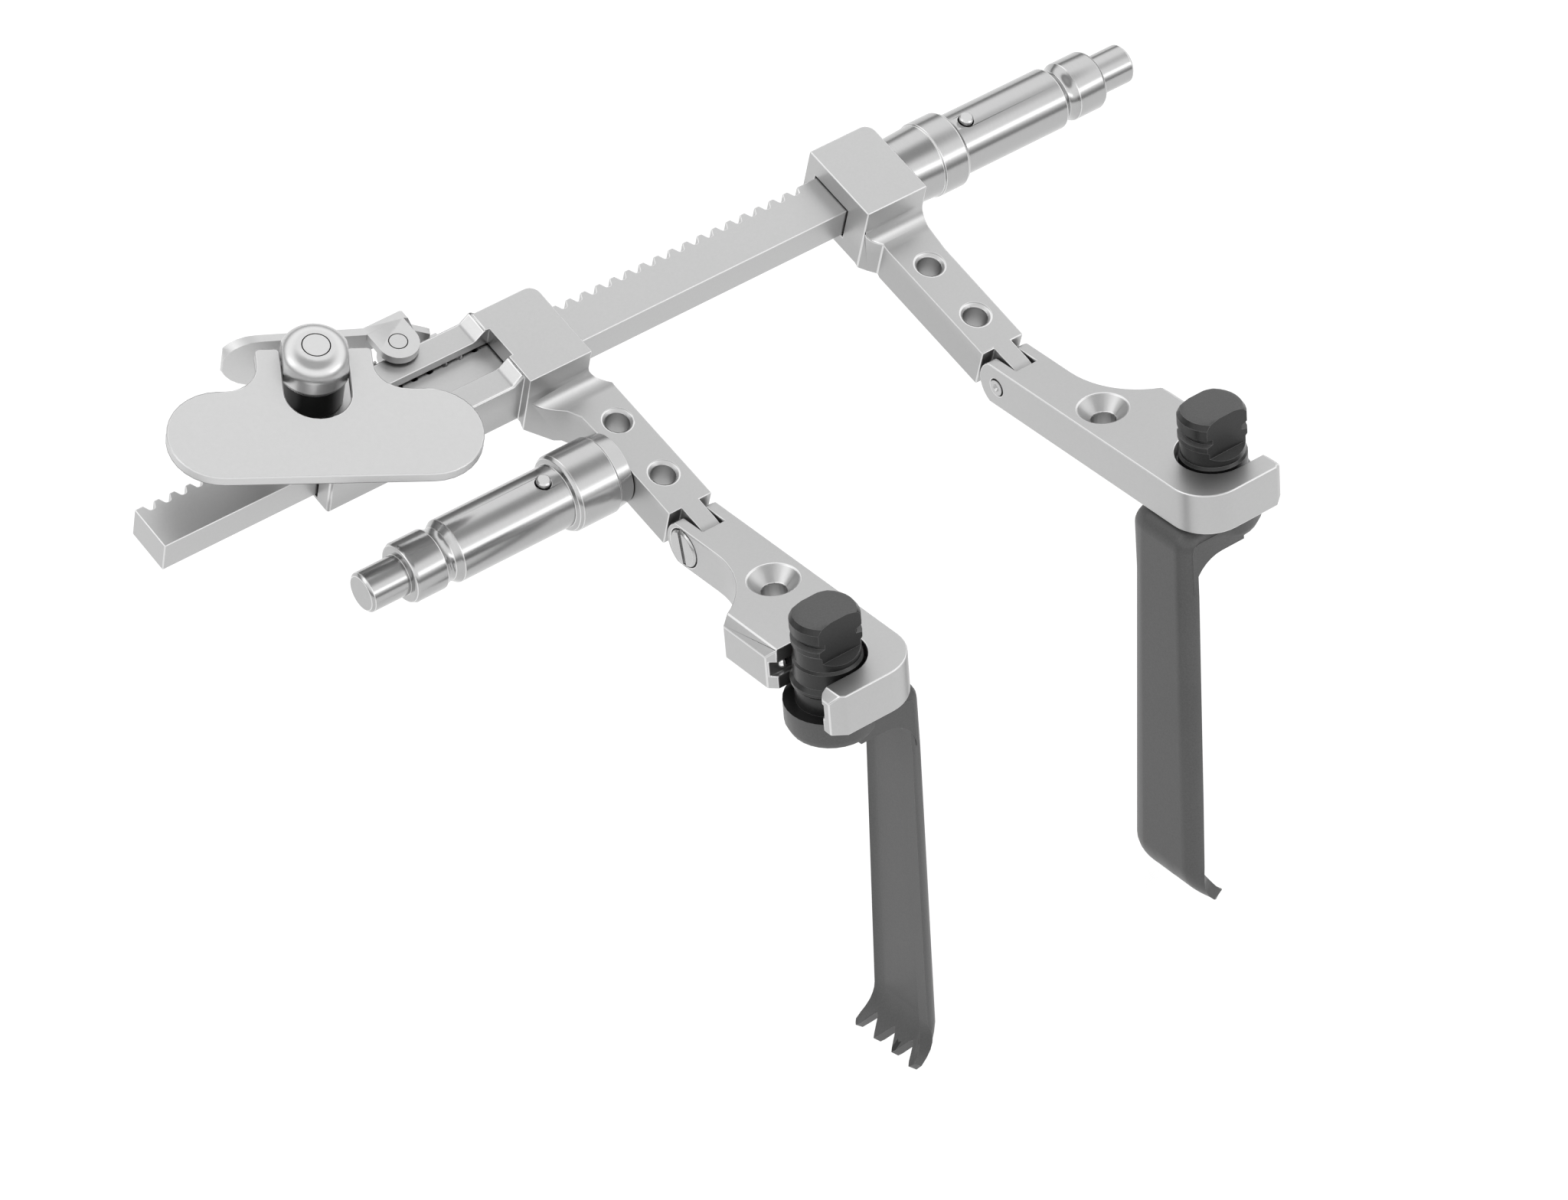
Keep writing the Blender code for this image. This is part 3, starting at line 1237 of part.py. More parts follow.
def make_pawl(frame):
    """The release lever in its pivot's frame: finger pad, neck, top tab and the nose behind the sleeve."""
    top = PAWL_TAB_BOTTOM_Z + PAWL_TAB_THICKNESS
    tab = PAWL_TAB_RADIUS
    tip_x = PAWL_TIP_X - PAWL_X
    tip_y = PAWL_TIP_Y - PAWL_Y
    nose_x = PAWL_NOSE_X - PAWL_X
    back = PAWL_STRIP_SETBACK
    path = [(tip_x, tip_y), (-tab, back), (tab, back), (nose_x - 0.1 * MM, back - 2.2 * MM)]
    lever = slab("pawl_lever", strip_outline(path, PAWL_STRIP), -REACH, REACH, parent=frame)
    neck = top - PAWL_NECK_HEIGHT
    pad = top - PAWL_PAD_HEIGHT
    pad_end = tip_x + PAWL_PAD_LENGTH
    nose = PAWL_NOSE_HEIGHT / 2
    half = PAWL_PAD_HEIGHT / 2
    side = arc((tip_x + half - 0.4 * MM, top - half), half, 90, 270, 12)
    side += [
        (pad_end - 1.2 * MM, pad + 0.3 * MM),
        (pad_end + 1.4 * MM, neck - 1.4 * MM),
        (pad_end + 3.6 * MM, neck),
        (tab - 0.4 * MM, neck),
        (tab + 0.9 * MM, -nose),
        (nose_x + PAWL_NOSE_ROOT, -nose),
        (nose_x + PAWL_NOSE_ROOT, SLEEVE_TOP_Z),
        (tab + 0.6 * MM, top),
    ]
    overlap(lever, slab("pawl_lever_side", side, -REACH, REACH, "XZ", frame))
    nose_back = back - 2.0 * MM
    nose_front = RACK_WIDTH / 2 + RUNNING_GAP - PAWL_Y
    nose_outline = [
        (nose_x - PAWL_NOSE_ROOT / 2, nose_back),
        (nose_x - PAWL_NOSE_TIP / 2, nose_front),
        (nose_x + PAWL_NOSE_TIP / 2, nose_front),
        (nose_x + PAWL_NOSE_ROOT / 2, nose_back),
    ]
    join(lever, slab("pawl_nose", nose_outline, -nose, nose, parent=frame))
    tab_outline = [(-tab, back)] + arc((0.0, 0.0), tab, 180, 360, 14) + [(tab, back)]
    join(lever, slab("pawl_tab", tab_outline, PAWL_TAB_BOTTOM_Z, top, parent=frame))
    hole = rod(
        "pawl_tab_hole",
        PAWL_PIN_RADIUS + PIN_GAP,
        (0, 0, PAWL_TAB_BOTTOM_Z - MM),
        (0, 0, top + MM),
        frame,
        steps=24,
    )
    cut(lever, hole)
    as_part(lever, steel)
    pin = rod(
        "pawl_pivot_pin",
        PAWL_PIN_RADIUS,
        (PAWL_X, PAWL_Y, SLEEVE_TOP_Z - PAWL_LUG_THICKNESS),
        (PAWL_X, PAWL_Y, top),
        steps=24,
    )
    as_part(pin, bright_steel)


def make_leaf_spring():
    back = SLEEVE_BACK_Y + SEAT_GAP + LEAF_THICKNESS / 2
    start = LEAF_RIVET_X + LEAF_FLAT / 2
    bend = LEAF_RIVET_X - LEAF_FLAT / 2
    path = [
        (start, back),
        (bend, back),
        (bend - LEAF_RISE_X * 0.4, back + LEAF_RISE_Y * 0.25),
        (bend - LEAF_RISE_X, back + LEAF_RISE_Y),
    ]
    leaf = slab("pawl_leaf_spring", strip_outline(path, LEAF_THICKNESS), LEAF_TOP_Z - LEAF_HEIGHT, LEAF_TOP_Z)
    z = LEAF_TOP_Z - LEAF_HEIGHT / 2
    hole = rod(
        "leaf_hole",
        LEAF_RIVET_RADIUS + PIN_GAP,
        (LEAF_RIVET_X, SLEEVE_BACK_Y - MM, z),
        (LEAF_RIVET_X, back + 2 * MM, z),
        steps=16,
    )
    cut(leaf, hole)
    as_part(leaf, steel)
    head_base = back + LEAF_THICKNESS / 2 + SEAT_GAP
    deep = SLEEVE_BACK_Y - 1.8 * MM
    tall = head_base + 0.5 * MM
    frame = joint_frame("leaf_rivet_axis", (LEAF_RIVET_X, 0, z), (-math.pi / 2, 0, 0))
    rivet = turned(
        "leaf_rivet",
        [
            (0.0, tall),
            (LEAF_RIVET_HEAD * 0.75, tall - 0.1 * MM),
            (LEAF_RIVET_HEAD, head_base + 0.1 * MM),
            (LEAF_RIVET_HEAD, head_base),
            (LEAF_RIVET_RADIUS, head_base),
            (LEAF_RIVET_RADIUS, deep),
            (0.0, deep),
        ],
        frame,
        16,
    )
    as_part(rivet, bright_steel)


clear_scene()
parts = new_collection("cervical_spreader")
cutters = new_collection("cutters")
steel = metal("satin stainless steel", 0.62, 0.36)
satin_steel = metal("brushed key steel", 0.68, 0.34)
bright_steel = metal("turned stainless steel", 0.66, 0.22)
chrome = metal("polished ball steel", 0.8, 0.08)
black_steel = metal("matte black coating", 0.09, 0.45, 0.2)

make_rack()
make_fixed_arm()
make_sliding_arm()
make_posts()
make_arms_and_blades()
pinion_axis = joint_frame("pinion_axis", (PINION_X, PINION_Y, 0))
fold_axis = joint_frame("key_fold_axis", (PINION_X, PINION_Y, WING_PIN_Z), (0, 0, WING_TURN))
make_key(pinion_axis, fold_axis)
pawl_axis = joint_frame("pawl_axis", (PAWL_X, PAWL_Y, 0))
make_pawl(pawl_axis)
make_leaf_spring()
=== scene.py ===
import json
import math

import bmesh
import bpy
from mathutils import Matrix, Vector

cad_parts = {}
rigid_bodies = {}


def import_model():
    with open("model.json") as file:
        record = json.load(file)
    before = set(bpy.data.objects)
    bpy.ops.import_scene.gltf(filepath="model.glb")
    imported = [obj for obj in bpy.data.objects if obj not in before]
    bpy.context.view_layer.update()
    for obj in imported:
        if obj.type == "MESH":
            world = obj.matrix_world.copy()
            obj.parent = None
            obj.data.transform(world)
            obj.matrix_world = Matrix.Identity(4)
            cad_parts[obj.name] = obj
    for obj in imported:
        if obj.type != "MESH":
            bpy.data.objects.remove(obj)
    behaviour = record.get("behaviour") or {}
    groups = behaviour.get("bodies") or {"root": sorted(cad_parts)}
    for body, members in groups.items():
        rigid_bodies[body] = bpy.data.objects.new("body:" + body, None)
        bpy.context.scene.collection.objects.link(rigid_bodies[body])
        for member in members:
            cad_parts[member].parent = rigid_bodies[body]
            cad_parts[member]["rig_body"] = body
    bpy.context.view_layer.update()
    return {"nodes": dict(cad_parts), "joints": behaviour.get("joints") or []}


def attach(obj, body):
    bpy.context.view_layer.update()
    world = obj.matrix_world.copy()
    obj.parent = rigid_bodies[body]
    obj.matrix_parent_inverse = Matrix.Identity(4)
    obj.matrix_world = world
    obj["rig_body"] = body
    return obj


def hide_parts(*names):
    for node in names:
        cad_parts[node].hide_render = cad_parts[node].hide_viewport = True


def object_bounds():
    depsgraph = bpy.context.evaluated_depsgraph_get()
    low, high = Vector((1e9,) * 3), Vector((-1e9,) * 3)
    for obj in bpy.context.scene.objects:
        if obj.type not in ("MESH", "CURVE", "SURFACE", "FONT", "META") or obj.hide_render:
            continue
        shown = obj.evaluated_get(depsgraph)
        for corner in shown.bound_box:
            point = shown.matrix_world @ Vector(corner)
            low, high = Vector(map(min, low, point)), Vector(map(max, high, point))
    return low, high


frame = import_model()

MM = 0.001
scene = bpy.context.scene
nodes = frame["nodes"]
joints = {joint["name"]: joint for joint in frame["joints"]}


def node_tree(material):
    """The node tree of a new material, and its shader."""
    material.use_nodes = True
    tree = material.node_tree
    return tree, tree.nodes["Principled BSDF"]


def add_node(tree, kind, **inputs):
    """A node of this kind, with values for its sockets by name."""
    made = tree.nodes.new(kind)
    for name, value in inputs.items():
        made.inputs[name.replace("_", " ")].default_value = value
    return made


def mapped(tree, scale):
    """The piece's own coordinates, stretched along an axis for a grain that has a direction."""
    place = tree.nodes.new("ShaderNodeTexCoord")
    mapping = tree.nodes.new("ShaderNodeMapping")
    mapping.inputs["Scale"].default_value = scale
    tree.links.new(place.outputs["Object"], mapping.inputs["Vector"])
    return mapping.outputs["Vector"]


def ranged(tree, source, low, high, start=0.0, stop=1.0):
    """A value spread from one range onto another."""
    made = tree.nodes.new("ShaderNodeMapRange")
    made.inputs["From Min"].default_value = start
    made.inputs["From Max"].default_value = stop
    made.inputs["To Min"].default_value = low
    made.inputs["To Max"].default_value = high
    tree.links.new(source, made.inputs["Value"])
    return made.outputs["Result"]


def combined(tree, operation, one, two):
    """Two values added or multiplied."""
    made = tree.nodes.new("ShaderNodeMath")
    made.operation = operation
    tree.links.new(one, made.inputs[0])
    tree.links.new(two, made.inputs[1])
    return made.outputs["Value"]


EVEN = (1, 1, 1)
BLASTED_GRAIN = 2600.0
COATING_GRAIN = 4200.0
CLOUD_SCALE = 70.0
CLOUD_SHARE = 0.6
GRAIN_DEPTH = 0.02 * MM
ROUGHNESS_DRIFT = 0.04


def metal(
    name,
    shade,
    roughness,
    metallic=1.0,
    spread=0.02,
    grain=BLASTED_GRAIN,
    bump=0.1,
    scale=EVEN,
    painted_shade_below=None,
):
    """A blasted or brushed metal: a fine grain, faint clouds of tone and a drifting roughness.

    The painted shade below a height gives a low and a high place along Z, and the share of the
    tone that is left below.
    """
    made = bpy.data.materials.new(name)
    tree, shader = node_tree(made)
    link = tree.links.new
    vector = mapped(tree, scale)
    plain = mapped(tree, EVEN)
    shader.inputs["Metallic"].default_value = metallic
    fine = add_node(tree, "ShaderNodeTexNoise", Scale=grain, Detail=3.0, Roughness=0.6)
    clouds = add_node(tree, "ShaderNodeTexNoise", Scale=CLOUD_SCALE, Detail=3.0, Roughness=0.5)
    link(vector, fine.inputs["Vector"])
    link(plain, clouds.inputs["Vector"])
    tone = ranged(tree, clouds.outputs["Fac"], -spread * CLOUD_SHARE, spread * CLOUD_SHARE)
    speck = ranged(tree, fine.outputs["Fac"], shade - spread, shade + spread)
    total = combined(tree, "ADD", tone, speck)
    if painted_shade_below:
        low, high, share = painted_shade_below
        split = tree.nodes.new("ShaderNodeSeparateXYZ")
        link(plain, split.inputs["Vector"])
        factor = ranged(tree, split.outputs["Z"], share, 1.0, low, high)
        total = combined(tree, "MULTIPLY", total, factor)
    colour = tree.nodes.new("ShaderNodeCombineColor")
    for channel in ("Red", "Green", "Blue"):
        link(total, colour.inputs[channel])
    link(colour.outputs["Color"], shader.inputs["Base Color"])
    polish = (roughness - ROUGHNESS_DRIFT, roughness + ROUGHNESS_DRIFT)
    link(ranged(tree, clouds.outputs["Fac"], *polish), shader.inputs["Roughness"])
    relief = tree.nodes.new("ShaderNodeBump")
    relief.inputs["Strength"].default_value = bump
    relief.inputs["Distance"].default_value = GRAIN_DEPTH
    link(fine.outputs["Fac"], relief.inputs["Height"])
    link(relief.outputs["Normal"], shader.inputs["Normal"])
    return made


# Shade and roughness of each finish. The arms are painted a little darker below their heads, as
# painted shade. The pillar, and the pinion gear that shares its steel, are painted nearly black
# below the pillar's waist, as painted shade and painted dark reflection.
satin = metal("satin_steel", 0.48, 0.38)
arm_satin = metal("arm_steel", 0.48, 0.38, painted_shade_below=(-2.0 * MM, 1.0 * MM, 0.86))
key_satin = metal("key_steel", 0.58, 0.44, grain=1800.0)
turned_steel = metal("turned_steel", 0.42, 0.2, grain=900.0, bump=0.12, scale=(9, 1, 1))
bright = metal("bright_steel", 0.5, 0.28, bump=0.05)
pillar_painted_shade = (10.0 * MM, 10.3 * MM, 0.03)
pillar_steel = metal("pillar_steel", 0.56, 0.3, bump=0.05, painted_shade_below=pillar_painted_shade)
chrome = metal("ball_chrome", 0.85, 0.07, bump=0.0, spread=0.01)
coating = {"metallic": 0.2, "grain": COATING_GRAIN}
black = metal("black_coating", 0.07, 0.42, bump=0.3, **coating)
# painted shade: a near-black, a little glossier, for the stem's walls and the ledge round its foot
stem_painted_shade = metal("black_stem_painted_shade", 0.012, 0.3, spread=0.008, bump=0.3, **coating)
# painted highlights: lighter and a little smoother copies of the finishes, for the strips that the
# edge break leaves
painted_highlight_steel = metal("painted_highlight_steel", 0.66, 0.32, bump=0.05)
painted_highlight_black = metal("painted_highlight_black", 0.15, 0.35, bump=0.2, **coating)

materials = {
    "fixed_arm": arm_satin,
    "sliding_arm": arm_satin,
    "fixed_post": turned_steel,
    "sliding_post": turned_steel,
    "key_wing": key_satin,
    "pawl_lever": key_satin,
    "key_pillar": pillar_steel,
    "pinion_gear": pillar_steel,
    "left_blade": black,
    "right_blade": black,
}
for name in nodes:
    if name.endswith("_ball"):
        materials[name] = chrome
    elif name.endswith(("_pin", "rivet", "screw")):
        materials.setdefault(name, bright)

# The edge strips take a painted highlight, and the stems a painted shade, each in a material slot
# of its own.
edge_highlights = {black: painted_highlight_black}
FACE_FINISH, EDGE_HIGHLIGHT, STEM_PAINTED_SHADE = 0, 1, 2
STEM_WALL_FACING = 0.6


# Gaps, rack and arms
RUNNING_GAP = 0.3 * MM
SEAT_GAP = 0.2 * MM
PIN_GAP = 0.15 * MM
RACK_FREE_LENGTH = 111.6 * MM
RACK_WIDTH = 7.0 * MM
FIXED_HEAD_LENGTH = 10.2 * MM
SLEEVE_TOP_Z = 4.3 * MM
ARM_WIDTH = 7.0 * MM
ARM_THICKNESS = 6.3 * MM
ARM_MID_Z = -3.5 * MM
HINGE_END_RADIUS = 3.6 * MM
HINGE_HOLLOW_RADIUS = HINGE_END_RADIUS + RUNNING_GAP
HINGE_SHAFT_RADIUS = 1.15 * MM
TONGUE_WIDTH = 2.9 * MM
SCREW_HEAD_RADIUS = 2.7 * MM
SCREW_HEAD_SINK = 0.7 * MM

# Holders
HOLDER_LENGTH = 42.7 * MM
HOLDER_OUTSIDE = 11.3 * MM
HOLDER_END_RADIUS = 5.8 * MM
HOLLOW_START = 7.5 * MM
HOLLOW_RADIUS = 12.5 * MM
HOOK_THICKNESS = 3.4 * MM
HOOK_CORNER = 1.8 * MM
MOUTH_CORNER = 1.1 * MM
TOP_CHAMFER = 1.2 * MM
HOLDER_HOLE_SIDE = 1.3 * MM
HOLDER_HOLE_DISTANCE = 16.9 * MM
HOLDER_HOLE_BORE = 3.4 * MM
HOLDER_HOLE_RIM = 7.0 * MM
HOLDER_SINK_DEPTH = 1.9 * MM
MOUTH_GROOVE_DEPTH = 0.8 * MM
MOUTH_GROOVE_HEIGHT = 2.2 * MM

# Stems of the blades; STEM_CROWN and FOOT_ROUNDING pair a share of the radius with a height in mm
STEM_SIDE = 5.8 * MM
STEM_RADIUS = 4.65 * MM
STEM_SLOT_GAP = 0.45 * MM
STEM_SLOT_RADIUS = STEM_RADIUS + STEM_SLOT_GAP
STEM_DISTANCE = HOLDER_LENGTH - HOOK_THICKNESS - STEM_SLOT_RADIUS
STEM_TOP = 10.7 * MM
STEM_NECK_RADIUS = 4.0 * MM
STEM_NECK_TOP = 7.7 * MM
STEM_NECK_HEIGHT = 0.7 * MM
STEM_RING_RADIUS = 5.1 * MM
STEM_RING_HEIGHT = 1.0 * MM
STEM_CROWN = ((0.0, 0.0), (0.72, 0.05), (0.9, 0.45), (1.0, 1.2))
STEM_FLAT = 3.1 * MM
STEM_FLAT_BOTTOM = 4.9 * MM
FOOT_RADIUS = 6.3 * MM
FOOT_HEIGHT = 5.0 * MM
FOOT_ROUNDING = ((1.0, 1.9), (0.92, 0.8), (0.72, 0.15), (0.5, 0.0), (0.0, 0.0))

# Blades; TOOTH_COLUMNS holds shares of the tooth spacing
NECK_DROP = 0.12 * MM
NECK_BEND_RADIUS = 2.8 * MM
NECK_FILLET = 5.0 * MM
BLADE_THICKNESS = 1.7 * MM
WEB_SETBACK = 0.1 * MM
WEB_DEPTH = BLADE_THICKNESS - WEB_SETBACK
WEB_ABOVE_FOOT = 0.3 * MM
WEB_PAST_EDGE = 0.04 * MM
CORE_PAST_FLAT = 0.4 * MM
BLADE_PAST_ARM = 1.1 * MM
BLADE_INNER_X = -ARM_WIDTH / 2 - BLADE_PAST_ARM - STEM_SIDE
BLADE_TOP_WIDTH = 10.4 * MM
BLADE_BOTTOM_WIDTH = 12.2 * MM
BLADE_LENGTH = 64.1 * MM
BLADE_LEAN = math.radians(2.3)
BLADE_LEAN_START = 10.5 * MM
BLADE_OFFSET = 0.6 * MM
EDGE_ROLL_RADIUS = 1.3 * MM
EDGE_LIP = 0.3 * MM
UPPER_EDGE_OPEN = 0.68
TIP_FLARE = 4.2 * MM
TIP_FLARE_LENGTH = 6.5 * MM
TIP_TEETH = 4
TOOTH_COLUMNS = (-0.5, -0.4, -0.1, 0.0, 0.1, 0.4)
COLUMN_GAP = 0.15 * MM
ROLL_STEPS = 4
BEND_STEPS = 5
LENGTH_STEPS = 4
FLARE_STEPS = 6
LEAST_ROLL = 0.02
TIP_TOOTH_SPAN = 0.92
TIP_TOOTH_HEIGHT = 2.2 * MM

# Posts
POST_COLLAR_RADIUS = 5.5 * MM
POST_CONE_RADIUS = POST_COLLAR_RADIUS - 0.5 * MM
POST_BODY_RADIUS = 4.5 * MM
POST_FRONT_RADIUS = 4.3 * MM
POST_GROOVE_RADIUS = 3.8 * MM
POST_TIP_RADIUS = 2.85 * MM
POST_TIP_CHAMFER = 0.4 * MM
POST_STUB_RADIUS = 2.0 * MM
POST_STUB_LENGTH = 1.2 * MM
POST_PIN_RADIUS = 1.0 * MM
POST_PIN_DEPTH = 2.4 * MM
POST_HOLE_PAST = 3 * MM
SLIDING_POST_Y = -19.4 * MM
SLIDING_POST_CONE = 2.4 * MM
SLIDING_POST_COLLAR = 6.9 * MM
SLIDING_POST_BODY = 18.2 * MM
SLIDING_POST_PIN = 12.0 * MM
FIXED_POST_CONE = 6.0 * MM
FIXED_POST_COLLAR = 4.8 * MM
FIXED_POST_BODY = 18.1 * MM
FIXED_POST_PIN = 13.0 * MM
POST_RIM_RUN = 0.7 * MM
POST_GROOVE_LENGTH = 1.9 * MM
POST_FRONT_LENGTH = 5.3 * MM
POST_TIP_LENGTH = 6.0 * MM

# Key pillar
PILLAR_RADIUS = 4.9 * MM
PILLAR_HALF_WIDTH = 4.3 * MM
PILLAR_TOP_Z = 14.5 * MM
PILLAR_ROUNDING = 2.4 * MM
PILLAR_WAIST_RADIUS = 4.4 * MM
PILLAR_WAIST_Z = 9.2 * MM
PILLAR_RIVET_RADIUS = 1.8 * MM
CROSS_PIN_RADIUS = 0.45 * MM
CROSS_PIN_GAP = 0.12 * MM

# Pawl lever
PAWL_X = 43.8 * MM
PAWL_Y = 7.0 * MM
PAWL_TIP_X = 24.1 * MM
PAWL_TIP_Y = 18.8 * MM
PAWL_TAB_RADIUS = 2.9 * MM
PAWL_TAB_THICKNESS = 1.2 * MM
PAWL_TAB_BOTTOM_Z = 4.7 * MM
PAWL_STRIP = 1.2 * MM
PAWL_STRIP_SETBACK = 3.6 * MM
PAWL_NOSE_X = 50.4 * MM
PAWL_NOSE_TIP = 0.7 * MM
PAWL_NOSE_ROOT = 2.4 * MM
PAWL_NOSE_HEIGHT = 2.4 * MM
PAWL_NECK_HEIGHT = 3.7 * MM
PAWL_PAD_HEIGHT = 9.0 * MM
PAWL_PAD_LENGTH = 7.0 * MM
PAWL_PIN_RADIUS = 1.2 * MM

# Faces round each form, and how its mesh is cleaned and its edges are broken
ROUND_STEPS = 32
HOLE_STEPS = 24
CORNER_STEPS = 10
MOUTH_STEPS = 20
HOLLOW_STEPS = 12
FILLET_STEPS = 8
TAB_STEPS = 14
PAD_STEPS = 12
SEAT_STEPS = 48
POST_STEPS = 96
PILLAR_STEPS = 72
WELD = 1e-6
CLEANING = 0.02 * MM
FLAT_WITHIN = math.radians(0.8)
EDGE_BREAK_STEPS = 2
SMOOTH_PAST_BREAK = 8.0
OPEN_BREAK_ANGLE = 40.0
CLAMPED_BREAK_ANGLE = 28.0
NODE_SMOOTH_ANGLE = math.radians(32)
UP = (0, 0, 1)

# REACH takes a cutter past any piece
REACH = 30.0 * MM
PLANES = {
    "XY": Matrix.Identity(4),
    "YZ": Matrix(((0, 0, 1, 0), (1, 0, 0, 0), (0, 1, 0, 0), (0, 0, 0, 1))),
    "XZ": Matrix(((1, 0, 0, 0), (0, 0, -1, 0), (0, 1, 0, 0), (0, 0, 0, 1))),
}

bench = bpy.data.collections.new("bench")
scene.collection.children.link(bench)


def mesh_object(name, mesh, parent=None):
    """A mesh put on the bench, where shapes are kept until they are baked."""
    made = bpy.data.objects.new(name, mesh)
    bench.objects.link(made)
    made.parent = parent
    return made


def place_stand(name, origin, z_axis, x_axis=(1, 0, 0)):
    """An empty that carries the shapes of a piece, with its Z and X axes along the given ones."""
    up = Vector(z_axis).normalized()
    along = Vector(x_axis).normalized()
    made = bpy.data.objects.new(name, None)
    bench.objects.link(made)
    turn = Matrix((along, up.cross(along), up)).transposed().to_4x4()
    made.matrix_world = Matrix.Translation(Vector(origin)) @ turn
    return made


def arc(centre, radius, start, end, steps):
    """Points of an arc, from the start angle to the end angle in degrees."""
    points = []
    for step in range(steps + 1):
        angle = math.radians(start + (end - start) * step / steps)
        x = centre[0] + radius * math.cos(angle)
        points.append((x, centre[1] + radius * math.sin(angle)))
    return points


def slab(name, outline, low, high, plane="XY", parent=None):
    """A flat outline given thickness from low to high along the plane's normal."""
    curve = bpy.data.curves.new(name, "CURVE")
    curve.dimensions = "2D"
    curve.fill_mode = "BOTH"
    curve.extrude = (high - low) / 2
    spline = curve.splines.new("POLY")
    spline.points.add(len(outline) - 1)
    for point, place in zip(spline.points, outline):
        point.co = (place[0], place[1], 0.0, 1.0)
    spline.use_cyclic_u = True
    drawn = bpy.data.objects.new(name + "_outline", curve)
    bench.objects.link(drawn)
    graph = bpy.context.evaluated_depsgraph_get()
    mesh = bpy.data.meshes.new_from_object(drawn.evaluated_get(graph))
    bpy.data.objects.remove(drawn, do_unlink=True)
    bpy.data.curves.remove(curve)
    work = bmesh.new()
    work.from_mesh(mesh)
    bmesh.ops.remove_doubles(work, verts=work.verts, dist=WELD)
    bmesh.ops.translate(work, verts=work.verts, vec=(0, 0, (high + low) / 2))
    bmesh.ops.transform(work, matrix=PLANES[plane], verts=work.verts)
    bmesh.ops.recalc_face_normals(work, faces=work.faces)
    work.to_mesh(mesh)
    work.free()
    mesh.name = name
    return mesh_object(name, mesh, parent)


def block(name, low, high, parent=None):
    """A box between two opposite corners."""
    mesh = bpy.data.meshes.new(name)
    work = bmesh.new()
    bmesh.ops.create_cube(work, size=1.0)
    size = [high[i] - low[i] for i in range(3)]
    middle = [(high[i] + low[i]) / 2 for i in range(3)]
    bmesh.ops.scale(work, vec=size, verts=work.verts)
    bmesh.ops.translate(work, vec=middle, verts=work.verts)
    work.to_mesh(mesh)
    work.free()
    return mesh_object(name, mesh, parent)


def rod(name, radius, start, end, parent=None, far_radius=None, steps=ROUND_STEPS):
    """A cylinder or a cone from one point to another."""
    first = Vector(start)
    run = Vector(end) - first
    mesh = bpy.data.meshes.new(name)
    work = bmesh.new()
    bmesh.ops.create_cone(
        work,
        cap_ends=True,
        segments=steps,
        radius1=radius,
        radius2=radius if far_radius is None else far_radius,
        depth=run.length,
    )
    turn = run.to_track_quat("Z", "Y").to_matrix().to_4x4()
    matrix = Matrix.Translation(first + run / 2) @ turn
    bmesh.ops.transform(work, matrix=matrix, verts=work.verts)
    work.to_mesh(mesh)
    work.free()
    return mesh_object(name, mesh, parent)


def turned(name, profile, parent=None, steps=ROUND_STEPS):
    """A profile of (radius, height) points, listed from the top down, turned about its Z axis."""
    mesh = bpy.data.meshes.new(name)
    points = [(radius, 0.0, height) for radius, height in profile]
    steps_down = [(i, i + 1) for i in range(len(points) - 1)]
    mesh.from_pydata(points, steps_down, [])
    made = mesh_object(name, mesh, parent)
    screw = made.modifiers.new("turn", "SCREW")
    screw.axis = "Z"
    screw.steps = steps
    screw.render_steps = steps
    screw.use_merge_vertices = True
    screw.merge_threshold = WELD
    screw.use_smooth_shade = True
    return made


def combine(obj, other, operation):
    """Cut, join or intersect with another shape, which stays on the bench until all are baked."""
    modifier = obj.modifiers.new(operation.lower() + "_" + other.name, "BOOLEAN")
    modifier.operation = operation
    modifier.solver = "EXACT"
    modifier.object = other
    return obj


def cut(obj, other):
    return combine(obj, other, "DIFFERENCE")


def join(obj, other):
    return combine(obj, other, "UNION")


def overlap(obj, other):
    return combine(obj, other, "INTERSECT")


def holder_plan(side):
    """The outer arm's outline from above, with its hinge at the origin and its tip at -Y."""
    half = ARM_WIDTH / 2
    end = HOLDER_END_RADIUS
    centre = (STEM_SIDE, -STEM_DISTANCE)
    outside = HOLDER_OUTSIDE
    hollow = (half + HOLLOW_RADIUS, -HOLLOW_START)
    hollow_end = math.degrees(math.acos((outside - hollow[0]) / HOLLOW_RADIUS))
    corner = MOUTH_CORNER
    outline = [(-half, HINGE_END_RADIUS + MM)]
    outline += arc((end - half, end - HOLDER_LENGTH), end, 180, 270, CORNER_STEPS)
    outline += [
        (outside - HOOK_CORNER, -HOLDER_LENGTH),
        (outside, HOOK_CORNER * 0.8 - HOLDER_LENGTH),
        (outside, centre[1] - STEM_SLOT_RADIUS - corner / 2),
        (outside - corner / 2, centre[1] - STEM_SLOT_RADIUS),
    ]
    outline += arc(centre, STEM_SLOT_RADIUS, -90, -270, MOUTH_STEPS)
    outline.append((outside - corner, centre[1] + STEM_SLOT_RADIUS))
    outline.append((outside, centre[1] + STEM_SLOT_RADIUS + corner))
    outline += arc(hollow, HOLLOW_RADIUS, -hollow_end, -180, HOLLOW_STEPS)
    outline.append((half, HINGE_END_RADIUS + MM))
    return [(side * x, y) for x, y in outline]


